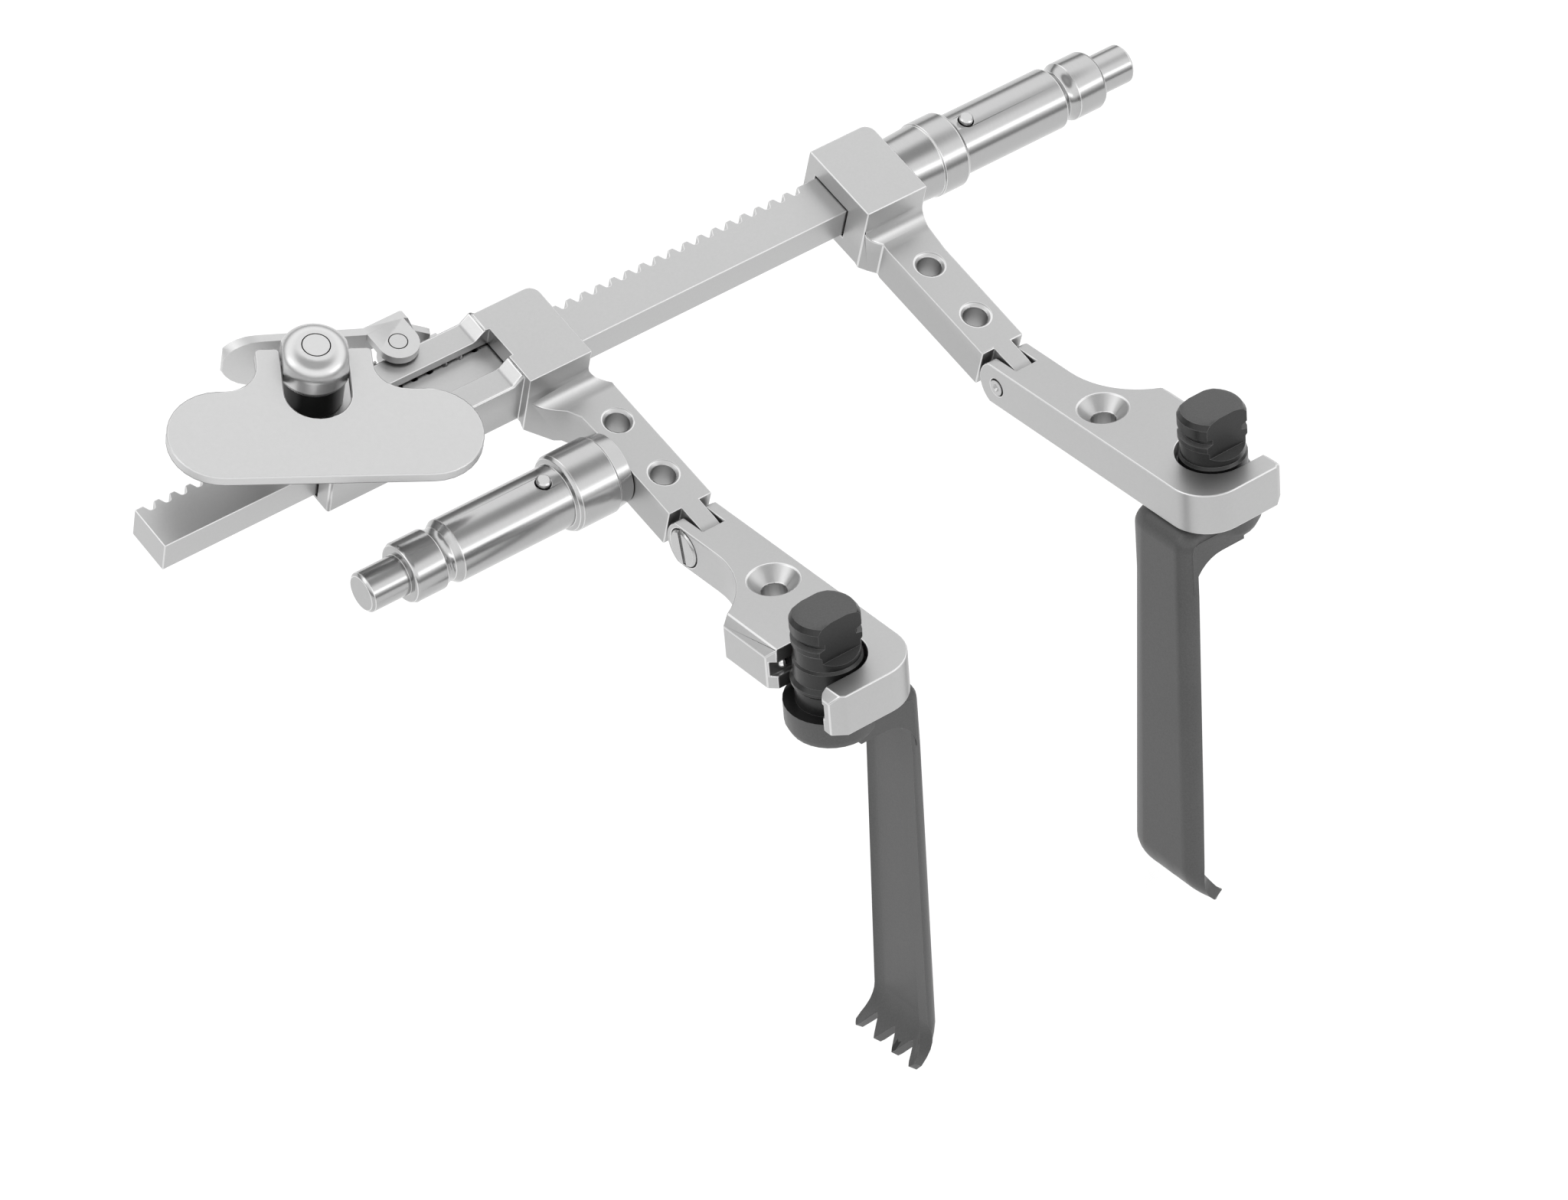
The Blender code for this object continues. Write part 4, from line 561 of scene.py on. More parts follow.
def make_holder(name, side, stand):
    """An outer arm: its fork at the hinge, a countersunk hole, and the open mouth at its tip."""
    half_thick = ARM_THICKNESS / 2
    plan = holder_plan(side)
    holder = slab(name, plan, -half_thick - MM, half_thick + MM, parent=stand)
    end = math.degrees(math.asin(half_thick / HINGE_END_RADIUS))
    profile = arc((0.0, 0.0), HINGE_END_RADIUS, -end, end, CORNER_STEPS)
    profile += [(-HOLDER_LENGTH - MM, half_thick), (-HOLDER_LENGTH - MM, -half_thick)]
    overlap(holder, slab(name + "_side", profile, -REACH, REACH, "YZ", stand))
    fork_half = TONGUE_WIDTH / 2 + RUNNING_GAP
    fork = block(name + "_fork_slot", (-fork_half, -MM, -REACH), (fork_half, REACH, REACH), stand)
    hollow = rod(
        name + "_fork_hollow",
        HINGE_HOLLOW_RADIUS,
        (-fork_half, 0, 0),
        (fork_half, 0, 0),
        stand,
        steps=SEAT_STEPS,
    )
    cut(holder, join(fork, hollow))
    out = HOLDER_OUTSIDE
    chamfer = [
        (side * (out - TOP_CHAMFER - MM), half_thick + MM),
        (side * (out + MM), half_thick - TOP_CHAMFER - MM),
        (side * (out + MM), half_thick + MM),
    ]
    cut(holder, slab(name + "_chamfer", chamfer, 0, HOLDER_LENGTH + MM, "XZ", stand))
    groove_radius = STEM_SLOT_RADIUS + MOUTH_GROOVE_DEPTH
    groove = arc((STEM_SIDE, -STEM_DISTANCE), groove_radius, -90, -270, MOUTH_STEPS)
    groove.append((out + MM, groove_radius - STEM_DISTANCE))
    groove.append((out + MM, -groove_radius - STEM_DISTANCE))
    groove = [(side * x, y) for x, y in groove]
    half_groove = MOUTH_GROOVE_HEIGHT / 2
    groove_cutter = slab(name + "_groove", groove, -half_groove, half_groove, parent=stand)
    cut(holder, groove_cutter)
    x = side * HOLDER_HOLE_SIDE
    y = -HOLDER_HOLE_DISTANCE
    bore = rod(
        name + "_hole",
        HOLDER_HOLE_BORE / 2,
        (x, y, -REACH),
        (x, y, REACH),
        stand,
        steps=HOLE_STEPS,
    )
    slope = (HOLDER_HOLE_RIM - HOLDER_HOLE_BORE) / 2 / HOLDER_SINK_DEPTH
    sink = rod(
        name + "_sink",
        HOLDER_HOLE_BORE / 2,
        (x, y, half_thick - HOLDER_SINK_DEPTH),
        (x, y, half_thick + MM),
        stand,
        far_radius=HOLDER_HOLE_RIM / 2 + slope * MM,
    )
    cut(cut(holder, bore), sink)
    pin = rod(
        name + "_hinge_hole",
        HINGE_SHAFT_RADIUS + PIN_GAP,
        (-REACH, 0, 0),
        (REACH, 0, 0),
        stand,
        steps=HOLE_STEPS,
    )
    cut(holder, pin)
    return holder


def tooth_spacing(edge):
    """The distance between tooth tips across a blade tip that reaches so far to each side."""
    return 2 * edge * TIP_TOOTH_SPAN / (TIP_TEETH - 1)


def tooth_depth(place, edge):
    """How far a column of the blade stops short of the tooth tips, which are a little round."""
    spacing = tooth_spacing(edge)
    outer = edge * TIP_TOOTH_SPAN
    nearest = min(abs(place + outer - tooth * spacing) for tooth in range(TIP_TEETH))
    share = nearest / (spacing / 2)
    return TIP_TOOTH_HEIGHT * (0.6 * share + 0.2 * (1 - math.cos(math.pi * share)))


def blade_columns(flat, edge):
    """Places across the unrolled tip for the columns of faces: roll, tooth tips and roots."""
    spacing = tooth_spacing(edge)
    roll = edge - EDGE_LIP - flat
    places = {flat + roll * step / ROLL_STEPS for step in range(1, ROLL_STEPS + 1)}
    for tooth in range(TIP_TEETH):
        tip = edge * TIP_TOOTH_SPAN - tooth * spacing
        places.update(tip + spacing * share for share in TOOTH_COLUMNS)
    kept = [0.0]
    for place in sorted(places):
        if place - kept[-1] > COLUMN_GAP and edge - place > COLUMN_GAP:
            kept.append(place)
    kept.append(edge)
    return [-place for place in kept[:0:-1]] + kept


def blade_rows(top, tooth_line):
    """Points of the sheet's middle line from the stem, over the bend and down, with its slope."""
    level = top - NECK_DROP
    bend_x = BLADE_INNER_X + NECK_BEND_RADIUS
    radius = NECK_BEND_RADIUS - BLADE_THICKNESS / 2
    rows = [(-STEM_RADIUS / 2, level - BLADE_THICKNESS / 2, 0.0)]
    for step in range(BEND_STEPS + 1):
        slope = math.pi / 2 * step / BEND_STEPS
        x = bend_x - radius * math.sin(slope)
        rows.append((x, level - NECK_BEND_RADIUS + radius * math.cos(slope), slope))
    x = BLADE_INNER_X + BLADE_THICKNESS / 2
    lean_z = top - BLADE_LEAN_START
    for step in range(LENGTH_STEPS + 1):
        rows.append((x, lean_z + (tooth_line - lean_z) * step / LENGTH_STEPS, math.pi / 2))
    return rows


def rolled(distance, flat, open_share):
    """Across and depth of a point of the sheet whose edge is rolled, or unrolled by a share."""
    past = abs(distance) - flat
    if past <= 0:
        return distance, 0.0
    turn = max(1.0 - open_share, LEAST_ROLL)
    radius = EDGE_ROLL_RADIUS / turn
    arc_length = min(past, EDGE_ROLL_RADIUS * math.pi / 2)
    angle = arc_length / radius
    across = flat + radius * math.sin(angle) + (past - arc_length) * math.cos(angle)
    depth = radius * (1 - math.cos(angle)) + (past - arc_length) * math.sin(angle)
    return math.copysign(across, distance), depth


def blade_flat(width):
    """Half the flat between the rolled edges of a blade so wide."""
    return width / 2 - EDGE_ROLL_RADIUS - BLADE_THICKNESS / 2


def make_blade_shell(name, side, stand):
    """A sheet bent down beside the arm, with one rolled edge and one that is nearly unrolled.

    It widens and leans on its way down, and flares at its toothed tip.
    """
    top = -ARM_THICKNESS / 2 - RUNNING_GAP
    tip = top - BLADE_LENGTH
    tooth_line = tip + TIP_FLARE_LENGTH
    tip_flat = blade_flat(BLADE_BOTTOM_WIDTH)
    tip_edge = tip_flat + EDGE_ROLL_RADIUS * math.pi / 2 + EDGE_LIP
    columns = blade_columns(tip_flat, tip_edge)
    rows = blade_rows(top, tooth_line)
    last_row = len(rows) - 1 + FLARE_STEPS
    mesh = bpy.data.meshes.new(name)
    work = bmesh.new()
    bmesh.ops.create_grid(work, x_segments=len(columns) - 1, y_segments=last_row, size=1.0)
    for vertex in work.verts:
        place = columns[round((vertex.co.x + 1) / 2 * (len(columns) - 1))]
        row = round((1 - vertex.co.y) / 2 * last_row)
        middle_x, height, slope = rows[min(row, len(rows) - 1)]
        share = max(0, row - len(rows) + 1) / FLARE_STEPS
        height += (tip + tooth_depth(place, tip_edge) - tooth_line) * share
        middle_x += TIP_FLARE * ((tooth_line - height) / TIP_FLARE_LENGTH) ** 2 if share else 0.0
        lowered = max(0.0, top - BLADE_LEAN_START - height)
        grown = lowered / (BLADE_LENGTH - BLADE_LEAN_START)
        width = BLADE_TOP_WIDTH + (BLADE_BOTTOM_WIDTH - BLADE_TOP_WIDTH) * grown
        flat = blade_flat(width)
        if abs(place) < tip_flat:
            distance = place * flat / tip_flat
        else:
            distance = math.copysign(flat + abs(place) - tip_flat, place)
        opened = max(share, UPPER_EDGE_OPEN) if distance > 0 else share
        across, depth = rolled(distance, flat, opened)
        x = middle_x + depth * math.sin(slope)
        y = across - BLADE_OFFSET + lowered * math.tan(BLADE_LEAN)
        vertex.co = (side * x, y, height - depth * math.cos(slope))
    bmesh.ops.recalc_face_normals(work, faces=work.faces)
    work.to_mesh(mesh)
    work.free()
    shell = mesh_object(name, mesh, stand)
    solid = shell.modifiers.new("sheet", "SOLIDIFY")
    solid.thickness = BLADE_THICKNESS
    solid.offset = 0.0
    solid.use_even_offset = True
    return shell


def web_outline(top, bottom, depth):
    """The filling under a blade's bend, from a depth below the sheet's outer face to the foot."""
    level = top - NECK_DROP
    bend = (BLADE_INNER_X + NECK_BEND_RADIUS, level - NECK_BEND_RADIUS)
    foot = bottom + WEB_ABOVE_FOOT
    fillet_x = BLADE_INNER_X + BLADE_THICKNESS - WEB_SETBACK
    fillet = (fillet_x + NECK_FILLET, foot - NECK_FILLET)
    outline = [(0.0, level - depth)] + arc(bend, NECK_BEND_RADIUS - depth, 90, 180, BEND_STEPS)
    outline += arc(fillet, NECK_FILLET, 180, 90, FILLET_STEPS)
    outline.append((0.0, foot))
    return outline


def stem_profile():
    """Radius and height of a stem's turned steps, from its crown down to its foot."""
    top = STEM_TOP
    neck = STEM_NECK_TOP
    neck_end = neck - STEM_NECK_HEIGHT
    ring_end = neck_end - STEM_RING_HEIGHT
    foot = -ARM_THICKNESS / 2 - RUNNING_GAP
    bottom = foot - FOOT_HEIGHT
    radius = STEM_RADIUS
    crown = [(radius * share, top - drop * MM) for share, drop in STEM_CROWN]
    round_foot = [(FOOT_RADIUS * share, bottom + rise * MM) for share, rise in FOOT_ROUNDING]
    return crown + [
        (radius, neck + 0.3 * MM),
        (STEM_NECK_RADIUS, neck),
        (STEM_NECK_RADIUS, neck_end),
        (radius, neck_end - 0.25 * MM),
        (radius, ring_end),
        (radius - 0.25 * MM, ring_end - 0.3 * MM),
        (radius - 0.25 * MM, ARM_THICKNESS / 2 + 0.4 * MM),
        (radius, ARM_THICKNESS / 2),
        (radius, MOUTH_GROOVE_HEIGHT / 2 - 0.3 * MM),
        (STEM_RING_RADIUS, 0.2 * MM),
        (STEM_RING_RADIUS, -0.2 * MM),
        (radius, -MOUTH_GROOVE_HEIGHT / 2 + 0.3 * MM),
        (radius, foot),
        (FOOT_RADIUS, foot),
    ] + round_foot


def make_blade(name, side, stand):
    """A blade in one piece with its stem: the sheet, the filling under its bend, and the stem."""
    blade = make_blade_shell(name, side, stand)
    top = -ARM_THICKNESS / 2 - RUNNING_GAP
    bottom = top - FOOT_HEIGHT
    flat = blade_flat(BLADE_TOP_WIDTH)
    fillings = (
        ("core", BLADE_THICKNESS / 2, flat + CORE_PAST_FLAT),
        ("web", WEB_DEPTH, BLADE_TOP_WIDTH / 2 + WEB_PAST_EDGE),
    )
    for label, depth, half in fillings:
        outline = [(side * x, z) for x, z in web_outline(top, bottom, depth)]
        low, high = BLADE_OFFSET - half, BLADE_OFFSET + half
        join(blade, slab(f"{name}_{label}", outline, low, high, "XZ", stand))
    stem = turned(name + "_stem", stem_profile(), stand)
    for direction in (1, -1):
        beside = [
            (direction * STEM_FLAT, STEM_TOP + MM),
            (direction * STEM_FLAT, STEM_FLAT_BOTTOM),
            (direction * (STEM_RADIUS + MM), STEM_FLAT_BOTTOM - 1.2 * MM),
            (direction * (STEM_RADIUS + MM), STEM_TOP + MM),
        ]
        label = "outer" if direction < 0 else "inner"
        cut(stem, slab(f"{name}_{label}_flat", beside, -REACH, REACH, "YZ", stand))
    join(blade, stem)
    return blade


def post_profile(cone, collar, body, base_radius):
    """Radius and distance from the arm of each turned step of a post."""
    rim = POST_RIM_RUN
    collar_end = cone + collar
    body_end = collar_end + body
    groove_end = body_end + POST_GROOVE_LENGTH
    front_end = groove_end + POST_FRONT_LENGTH
    tip_end = front_end + POST_TIP_LENGTH
    groove = POST_GROOVE_LENGTH / 2
    body_radius = POST_BODY_RADIUS
    front = POST_FRONT_RADIUS
    return [
        (0.0, -POST_STUB_LENGTH),
        (POST_STUB_RADIUS, -POST_STUB_LENGTH),
        (POST_STUB_RADIUS, SEAT_GAP),
        (base_radius, SEAT_GAP),
        (POST_COLLAR_RADIUS - 0.2 * MM, cone),
        (POST_COLLAR_RADIUS, cone + 0.2 * MM),
        (POST_COLLAR_RADIUS, collar_end - rim),
        (POST_COLLAR_RADIUS - 0.3 * MM, collar_end - 0.2 * MM),
        (body_radius, collar_end),
        (body_radius, body_end - 0.35 * MM),
        (body_radius - 0.25 * MM, body_end),
        (POST_GROOVE_RADIUS, body_end + groove * 0.7),
        (POST_GROOVE_RADIUS, body_end + groove * 1.3),
        (front - 0.25 * MM, groove_end),
        (front, groove_end + 0.35 * MM),
        (front, front_end - rim),
        (front - 0.25 * MM, front_end - 0.2 * MM),
        (front - 0.7 * MM, front_end),
        (POST_TIP_RADIUS, front_end),
        (POST_TIP_RADIUS, tip_end - POST_TIP_CHAMFER),
        (POST_TIP_RADIUS - POST_TIP_CHAMFER, tip_end),
        (0.0, tip_end),
    ]


def strip_outline(path, thickness):
    """The outline of a strip of constant thickness along a path of points."""
    count = len(path)
    left = []
    right = []
    for index in range(count):
        before = Vector(path[max(index - 1, 0)])
        here = Vector(path[index])
        after = Vector(path[min(index + 1, count - 1)])
        one = (here - before).normalized() if index else (after - here).normalized()
        two = (after - here).normalized() if index < count - 1 else one
        along = (one + two).normalized()
        width = thickness / 2 / max(along.dot(one), 0.3)
        across = Vector((-along.y, along.x)) * width
        left.append(tuple(here + across))
        right.append(tuple(here - across))
    return left + right[::-1]


def make_pawl(stand):
    """The release lever about its pivot: finger pad, neck, top tab, and nose behind the sleeve."""
    top = PAWL_TAB_BOTTOM_Z + PAWL_TAB_THICKNESS
    tab = PAWL_TAB_RADIUS
    tip_x = PAWL_TIP_X - PAWL_X
    tip_y = PAWL_TIP_Y - PAWL_Y
    nose_x = PAWL_NOSE_X - PAWL_X
    back = PAWL_STRIP_SETBACK
    path = [(tip_x, tip_y), (-tab, back), (tab, back), (nose_x - 0.1 * MM, back - 2.2 * MM)]
    lever = slab("pawl_lever", strip_outline(path, PAWL_STRIP), -REACH, REACH, parent=stand)
    neck = top - PAWL_NECK_HEIGHT
    pad = top - PAWL_PAD_HEIGHT
    pad_end = tip_x + PAWL_PAD_LENGTH
    nose = PAWL_NOSE_HEIGHT / 2
    half = PAWL_PAD_HEIGHT / 2
    side = arc((tip_x + half - 0.4 * MM, top - half), half, 90, 270, PAD_STEPS)
    side += [
        (pad_end - 1.2 * MM, pad + 0.3 * MM),
        (pad_end + 1.4 * MM, neck - 1.4 * MM),
        (pad_end + 3.6 * MM, neck),
        (tab - 0.4 * MM, neck),
        (tab + 0.9 * MM, -nose),
        (nose_x + PAWL_NOSE_ROOT, -nose),
        (nose_x + PAWL_NOSE_ROOT, nose),
        (nose_x - 0.4 * MM, 2.6 * MM),
        (tab + 1.4 * MM, 3.3 * MM),
        (tab + 0.5 * MM, top),
    ]
    overlap(lever, slab("pawl_lever_side", side, -REACH, REACH, "XZ", stand))
    nose_back = back - 2.0 * MM
    nose_front = RACK_WIDTH / 2 + RUNNING_GAP - PAWL_Y
    nose_outline = [
        (nose_x - PAWL_NOSE_ROOT / 2, nose_back),
        (nose_x - PAWL_NOSE_TIP / 2, nose_front),
        (nose_x + PAWL_NOSE_TIP / 2, nose_front),
        (nose_x + PAWL_NOSE_ROOT / 2, nose_back),
    ]
    join(lever, slab("pawl_nose", nose_outline, -nose, nose, parent=stand))
    tab_outline = [(-tab, back)] + arc((0.0, 0.0), tab, 180, 360, TAB_STEPS) + [(tab, back)]
    join(lever, slab("pawl_tab", tab_outline, PAWL_TAB_BOTTOM_Z, top, parent=stand))
    hole = rod(
        "pawl_tab_hole",
        PAWL_PIN_RADIUS + PIN_GAP,
        (0, 0, PAWL_TAB_BOTTOM_Z - MM),
        (0, 0, top + MM),
        stand,
        steps=HOLE_STEPS,
    )
    cut(lever, hole)
    return lever


def make_post(name, stand, cone, collar, length, pin_distance):
    """A post along its stand's Z axis, which points away from the arm, with a pin hole on top."""
    profile = post_profile(cone, collar, length, POST_CONE_RADIUS)
    post = turned(name, profile[::-1], stand, POST_STEPS)
    hole = rod(
        name + "_pin_hole",
        POST_PIN_RADIUS + PIN_GAP,
        (0, POST_BODY_RADIUS - POST_PIN_DEPTH, pin_distance),
        (0, POST_BODY_RADIUS + POST_HOLE_PAST, pin_distance),
        stand,
    )
    return cut(post, hole)


def make_pillar(spin_stand, fold_stand):
    """The barrel under the key wing: two flats, the rivet's bore and the cross pin's hole."""
    rounding = (PILLAR_RADIUS - PILLAR_ROUNDING, PILLAR_TOP_Z - PILLAR_ROUNDING)
    profile = [(0.0, PILLAR_TOP_Z)] + arc(rounding, PILLAR_ROUNDING, 90, 0, CORNER_STEPS)
    profile += [
        (PILLAR_RADIUS, PILLAR_WAIST_Z + 0.8 * MM),
        (PILLAR_WAIST_RADIUS, PILLAR_WAIST_Z),
        (PILLAR_WAIST_RADIUS, SLEEVE_TOP_Z + RUNNING_GAP),
        (0.0, SLEEVE_TOP_Z + RUNNING_GAP),
    ]
    pillar = turned("key_pillar", profile, spin_stand, PILLAR_STEPS)
    for direction in (-1, 1):
        near, far = sorted((direction * PILLAR_HALF_WIDTH, direction * REACH))
        name = f"pillar_flat_{direction + 1}"
        cut(pillar, block(name, (near, -REACH, -REACH), (far, REACH, REACH), fold_stand))
    bore = rod(
        "pillar_bore",
        PILLAR_RIVET_RADIUS + PIN_GAP,
        (0, 0, 0),
        (0, 0, REACH),
        spin_stand,
        steps=SEAT_STEPS,
    )
    pin = rod(
        "cross_pin_hole",
        CROSS_PIN_RADIUS + CROSS_PIN_GAP,
        (-REACH, 0, 0),
        (REACH, 0, 0),
        fold_stand,
        steps=HOLE_STEPS,
    )
    return cut(cut(pillar, bore), pin)


def baked(obj, node):
    """The shape with its cuts and joins worked out, as one mesh at the origin."""
    graph = bpy.context.evaluated_depsgraph_get()
    mesh = bpy.data.meshes.new_from_object(obj.evaluated_get(graph))
    mesh.transform(obj.matrix_world)
    made = bpy.data.objects.new(node + "_shaped", mesh)
    mesh.name = made.name
    scene.collection.objects.link(made)
    return made


def joint_place(name):
    """Where a joint is, and the direction of its axis."""
    joint = joints[name]
    return Vector(joint["pos_m"]), Vector(joint["axis"])


def shape_pieces():
    """The pieces that are shaped here, each by the node that it stands for."""
    made = {}
    for side, label in ((-1, "left"), (1, "right")):
        swivel, up = joint_place(label + "_blade_swivel")
        hinge = joint_place(label + "_arm_tilt")[0]
        tilt_stand = place_stand(label + "_tilt_stand", hinge, up)
        stem_stand = place_stand(label + "_stem_stand", swivel, up)
        made[label + "_holder"] = make_holder(label + "_holder", side, tilt_stand)
        made[label + "_blade"] = make_blade(label + "_blade", side, stem_stand)
    seat = rod(
        "screw_head_seat",
        SCREW_HEAD_RADIUS + PIN_GAP,
        (-ARM_WIDTH / 2 - MM, 0, 0),
        (SCREW_HEAD_SINK - ARM_WIDTH / 2, 0, 0),
        bench.objects["left_tilt_stand"],
        steps=SEAT_STEPS,
    )
    cut(made["left_holder"], seat)
    fixed_end = (RACK_FREE_LENGTH + FIXED_HEAD_LENGTH, 0, 0)
    sliding_end = (joint_place("left_arm_tilt")[0].x - ARM_WIDTH / 2, SLIDING_POST_Y, ARM_MID_Z)
    made["fixed_post"] = make_post(
        "fixed_post",
        place_stand("fixed_post_stand", fixed_end, (1, 0, 0), (0, 1, 0)),
        FIXED_POST_CONE,
        FIXED_POST_COLLAR,
        FIXED_POST_BODY,
        FIXED_POST_PIN,
    )
    made["sliding_post"] = make_post(
        "sliding_post",
        place_stand("sliding_post_stand", sliding_end, (-1, 0, 0), (0, -1, 0)),
        SLIDING_POST_CONE,
        SLIDING_POST_COLLAR,
        SLIDING_POST_BODY,
        SLIDING_POST_PIN,
    )
    spin = place_stand("spin_stand", joint_place("pinion_spin")[0], UP)
    fold_place, fold_axis = joint_place("wing_fold")
    fold = place_stand("fold_stand", fold_place, UP, -fold_axis)
    made["key_pillar"] = make_pillar(spin, fold)
    pivot = place_stand("pawl_stand", joint_place("pawl_release")[0], UP)
    made["pawl_lever"] = make_pawl(pivot)
    bpy.context.view_layer.update()
    shaped = {node: baked(obj, node) for node, obj in made.items()}
    for obj in list(bench.objects):
        bpy.data.objects.remove(obj, do_unlink=True)
    bpy.data.collections.remove(bench)
    return shaped


def paint(obj, material):
    """One material all over an object."""
    obj.data.materials.clear()
    obj.data.materials.append(material)


for name, obj in nodes.items():
    paint(obj, materials.get(name, satin))


def select_only(obj):
    """This object selected and active, and no other."""
    bpy.ops.object.select_all(action="DESELECT")
    obj.select_set(True)
    bpy.context.view_layer.objects.active = obj


def soften(obj, width, clamped, angle):
    """Flat faces cleaned, and a narrow rounded break on every hard edge."""
    select_only(obj)
    bpy.ops.object.mode_set(mode="EDIT")
    bpy.ops.mesh.select_all(action="SELECT")
    bpy.ops.mesh.remove_doubles(threshold=CLEANING)
    bpy.ops.mesh.dissolve_degenerate(threshold=CLEANING)
    bpy.ops.mesh.dissolve_limited(angle_limit=FLAT_WITHIN)
    bpy.ops.object.mode_set(mode="OBJECT")
    bevel = obj.modifiers.new("edge break", "BEVEL")
    bevel.width = width
    bevel.segments = EDGE_BREAK_STEPS
    bevel.limit_method = "ANGLE"
    bevel.angle_limit = math.radians(angle)
    bevel.miter_outer = "MITER_ARC" if clamped else "MITER_SHARP"
    bevel.use_clamp_overlap = clamped
    # the strips of the break take the painted highlight
    bevel.material = EDGE_HIGHLIGHT
    bpy.ops.object.modifier_apply(modifier=bevel.name)
    bpy.ops.object.shade_smooth_by_angle(angle=math.radians(angle + SMOOTH_PAST_BREAK))
    even = obj.modifiers.new("flat faces stay flat", "WEIGHTED_NORMAL")
    even.mode = "FACE_AREA"
    even.weight = 100
    even.keep_sharp = True
    bpy.ops.object.modifier_apply(modifier=even.name)


def dress(piece, finish):
    """The finish of the faces, and a lighter one as painted highlight for the strips that the edge
    break leaves.
    """
    piece.data.materials.clear()
    piece.data.materials.append(finish)
    piece.data.materials.append(edge_highlights.get(finish, painted_highlight_steel))
    for face in piece.data.polygons:
        face.material_index = FACE_FINISH


def paint_stem_shade(piece, node):
    """A glossier black for the stem's walls and the ledge round its foot, painted near-black there
    as painted shade.
    """
    place, axis = joint_place(node + "_swivel")
    piece.data.materials.append(stem_painted_shade)
    for face in piece.data.polygons:
        away = face.center - place
        height = away.dot(axis)
        reach = (away - axis * height).length
        facing = face.normal.dot(axis)
        wall = abs(facing) < STEM_WALL_FACING and reach < STEM_RING_RADIUS + 0.2 * MM
        ledge = facing > STEM_WALL_FACING and reach < FOOT_RADIUS and height < STEM_TOP - 4 * MM
        if face.material_index == FACE_FINISH and (wall or ledge):
            face.material_index = STEM_PAINTED_SHADE


def finish_piece(piece, node, width):
    """Finishes, edge breaks, and the node that the piece stands for."""
    finish = materials.get(node, satin)
    dress(piece, finish)
    if node in open_breaks:
        soften(piece, width, clamped=False, angle=OPEN_BREAK_ANGLE)
    else:
        soften(piece, width, clamped=True, angle=CLAMPED_BREAK_ANGLE)
    if finish == black:
        paint_stem_shade(piece, node)
    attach(piece, nodes[node]["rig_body"])
    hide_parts(node)


def copy_of(node):
    """A copy of a CAD node as a piece of its own."""
    source = nodes[node]
    copy = source.copy()
    copy.data = source.data.copy()
    for key in list(copy.keys()):
        if key.startswith("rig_"):
            del copy[key]
    copy.name = node + "_finished"
    copy.data.name = copy.name
    copy.parent = None
    scene.collection.objects.link(copy)
    return copy


# Widths of the broken edges, in mm. Those of open_breaks aren't narrowed where faces are short.
edge_breaks = {
    "rack_bar": 0.15,
    "fixed_arm": 0.17,
    "sliding_arm": 0.13,
    "left_holder": 0.17,
    "right_holder": 0.17,
    "pawl_lever": 0.15,
    "hinge_screw": 0.08,
    "key_wing": 0.12,
    "key_pillar": 0.12,
    "fixed_post": 0.1,
    "sliding_post": 0.1,
    "left_blade": 0.14,
    "right_blade": 0.14,
}
open_breaks = ("left_holder", "right_holder", "fixed_arm", "sliding_arm", "key_wing")
shaped = shape_pieces()
for node, width in edge_breaks.items():
    finish_piece(shaped[node] if node in shaped else copy_of(node), node, width * MM)

for name in nodes:
    if name in edge_breaks:
        continue
    select_only(nodes[name])
    bpy.ops.object.shade_smooth_by_angle(angle=NODE_SMOOTH_ANGLE)


MIDDLE = (0.08, -0.03, 0.0)
FLOOR_SIZE = 6.0
FLOOR_DROP = 0.5 * MM
FLOOR_SHADE = (0.28, 0.3)
FLOOR_GLOW = 0.78


def make_stage():
    """A plain pale floor just under the blades, which glows, so that its shadows stay faint."""
    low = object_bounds()[0]
    place = (MIDDLE[0], MIDDLE[1], low.z - FLOOR_DROP)
    bpy.ops.mesh.primitive_plane_add(size=FLOOR_SIZE, location=place)
    floor = bpy.context.object
    floor.name = "floor"
    made = bpy.data.materials.new("pale_floor")
    tree, shader = node_tree(made)
    vector = mapped(tree, EVEN)
    noise = add_node(tree, "ShaderNodeTexNoise", Scale=40.0, Detail=2.0)
    tree.links.new(vector, noise.inputs["Vector"])
    tone = ranged(tree, noise.outputs["Fac"], *FLOOR_SHADE)
    colour = tree.nodes.new("ShaderNodeCombineColor")
    for channel in ("Red", "Green", "Blue"):
        tree.links.new(tone, colour.inputs[channel])
    tree.links.new(colour.outputs["Color"], shader.inputs["Base Color"])
    shader.inputs["Roughness"].default_value = 1.0
    shader.inputs["Specular IOR Level"].default_value = 0.0
    shader.inputs["Emission Color"].default_value = (1, 1, 1, 1)
    shader.inputs["Emission Strength"].default_value = FLOOR_GLOW
    paint(floor, made)


IMAGE_WIDTH = 2048
FOCAL_PIXELS = 8814.0
SENSOR_WIDTH = 36.0
CAMERA_TURN = (-46.93, 51.698, 12.437)
CAMERA_ORIGIN = (111.6, -3.5, 2.5)
CAMERA_AWAY = 918.92
CAMERA_LEFT = 8.529
CAMERA_DOWN = 52.937


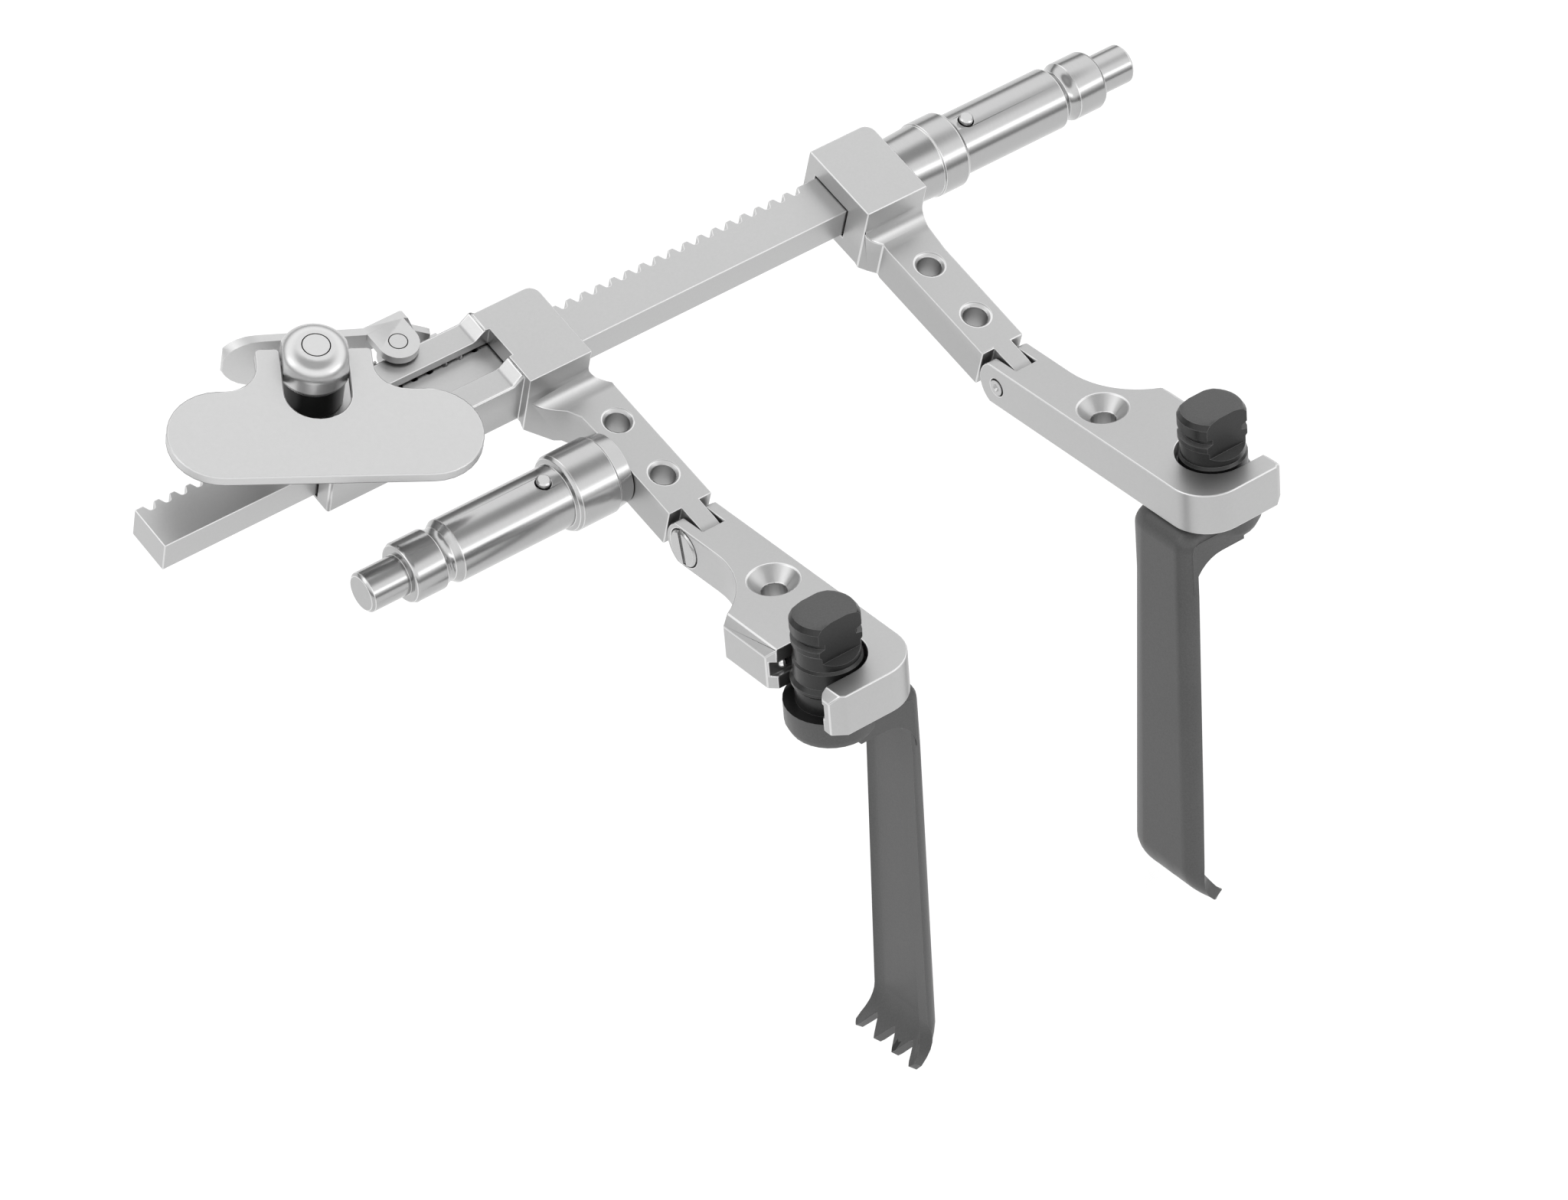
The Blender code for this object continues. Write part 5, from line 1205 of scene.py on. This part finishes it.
def make_camera():
    """The photograph's view: azimuth, elevation and roll in degrees, and distances in mm."""
    azimuth, elevation, roll = (math.radians(angle) for angle in CAMERA_TURN)
    back = Vector((
        math.sin(azimuth) * math.cos(elevation),
        -math.cos(azimuth) * math.cos(elevation),
        math.sin(elevation),
    ))
    level = Vector((math.cos(azimuth), math.sin(azimuth), 0))
    up = back.cross(level)
    right = level * math.cos(roll) + up * math.sin(roll)
    over = up * math.cos(roll) - level * math.sin(roll)
    origin = Vector(CAMERA_ORIGIN) * MM
    place = origin + (back * CAMERA_AWAY - right * CAMERA_LEFT - over * CAMERA_DOWN) * MM
    data = bpy.data.cameras.new("camera")
    data.sensor_width = SENSOR_WIDTH
    data.lens = FOCAL_PIXELS / IMAGE_WIDTH * SENSOR_WIDTH
    data.clip_start = 0.01
    camera = bpy.data.objects.new("camera", data)
    scene.collection.objects.link(camera)
    turn = Matrix((right, over, back)).transposed().to_4x4()
    camera.matrix_world = Matrix.Translation(place) @ turn
    scene.camera = camera


# Tones of the studio by height: 0 is the horizon and all below it, and 1 is straight above
STUDIO_BANDS = (
    (0.0, 0.2),
    (0.14, 0.24),
    (0.27, 0.6),
    (0.35, 0.94),
    (0.46, 1.0),
    (0.58, 1.0),
    (0.78, 1.0),
    (0.84, 0.8),
    (0.9, 0.26),
    (1.0, 0.42),
)
STUDIO_STRENGTH = 1.5


def area_light(name, place, width, height, power):
    """A softbox that faces the middle of the object."""
    data = bpy.data.lights.new(name, "AREA")
    data.shape = "RECTANGLE"
    data.size = width
    data.size_y = height
    data.energy = power
    light = bpy.data.objects.new(name, data)
    scene.collection.objects.link(light)
    light.location = place
    light.rotation_euler = (Vector(MIDDLE) - Vector(place)).to_track_quat("-Z", "Y").to_euler()


def make_light():
    """A studio that is brightest halfway up, and two softboxes."""
    world = bpy.data.worlds.new("studio")
    scene.world = world
    world.use_nodes = True
    tree = world.node_tree
    background = tree.nodes["Background"]
    place = tree.nodes.new("ShaderNodeTexCoord")
    split = tree.nodes.new("ShaderNodeSeparateXYZ")
    tree.links.new(place.outputs["Generated"], split.inputs["Vector"])
    ramp = tree.nodes.new("ShaderNodeValToRGB")
    elements = ramp.color_ramp.elements
    while len(elements) < len(STUDIO_BANDS):
        elements.new(0.5)
    for element, (height, tone) in zip(elements, STUDIO_BANDS):
        element.position = height
        element.color = (tone, tone, tone, 1)
    tree.links.new(split.outputs["Z"], ramp.inputs["Fac"])
    tree.links.new(ramp.outputs["Color"], background.inputs["Color"])
    background.inputs["Strength"].default_value = STUDIO_STRENGTH
    area_light("left_softbox", (-0.86, 0.48, 0.54), 0.5, 0.5, 0.8)
    area_light("front_softbox", (0.58, -0.82, 0.52), 0.7, 0.2, 0.75)


make_stage()
make_camera()
make_light()
scene.view_settings.view_transform = "Standard"
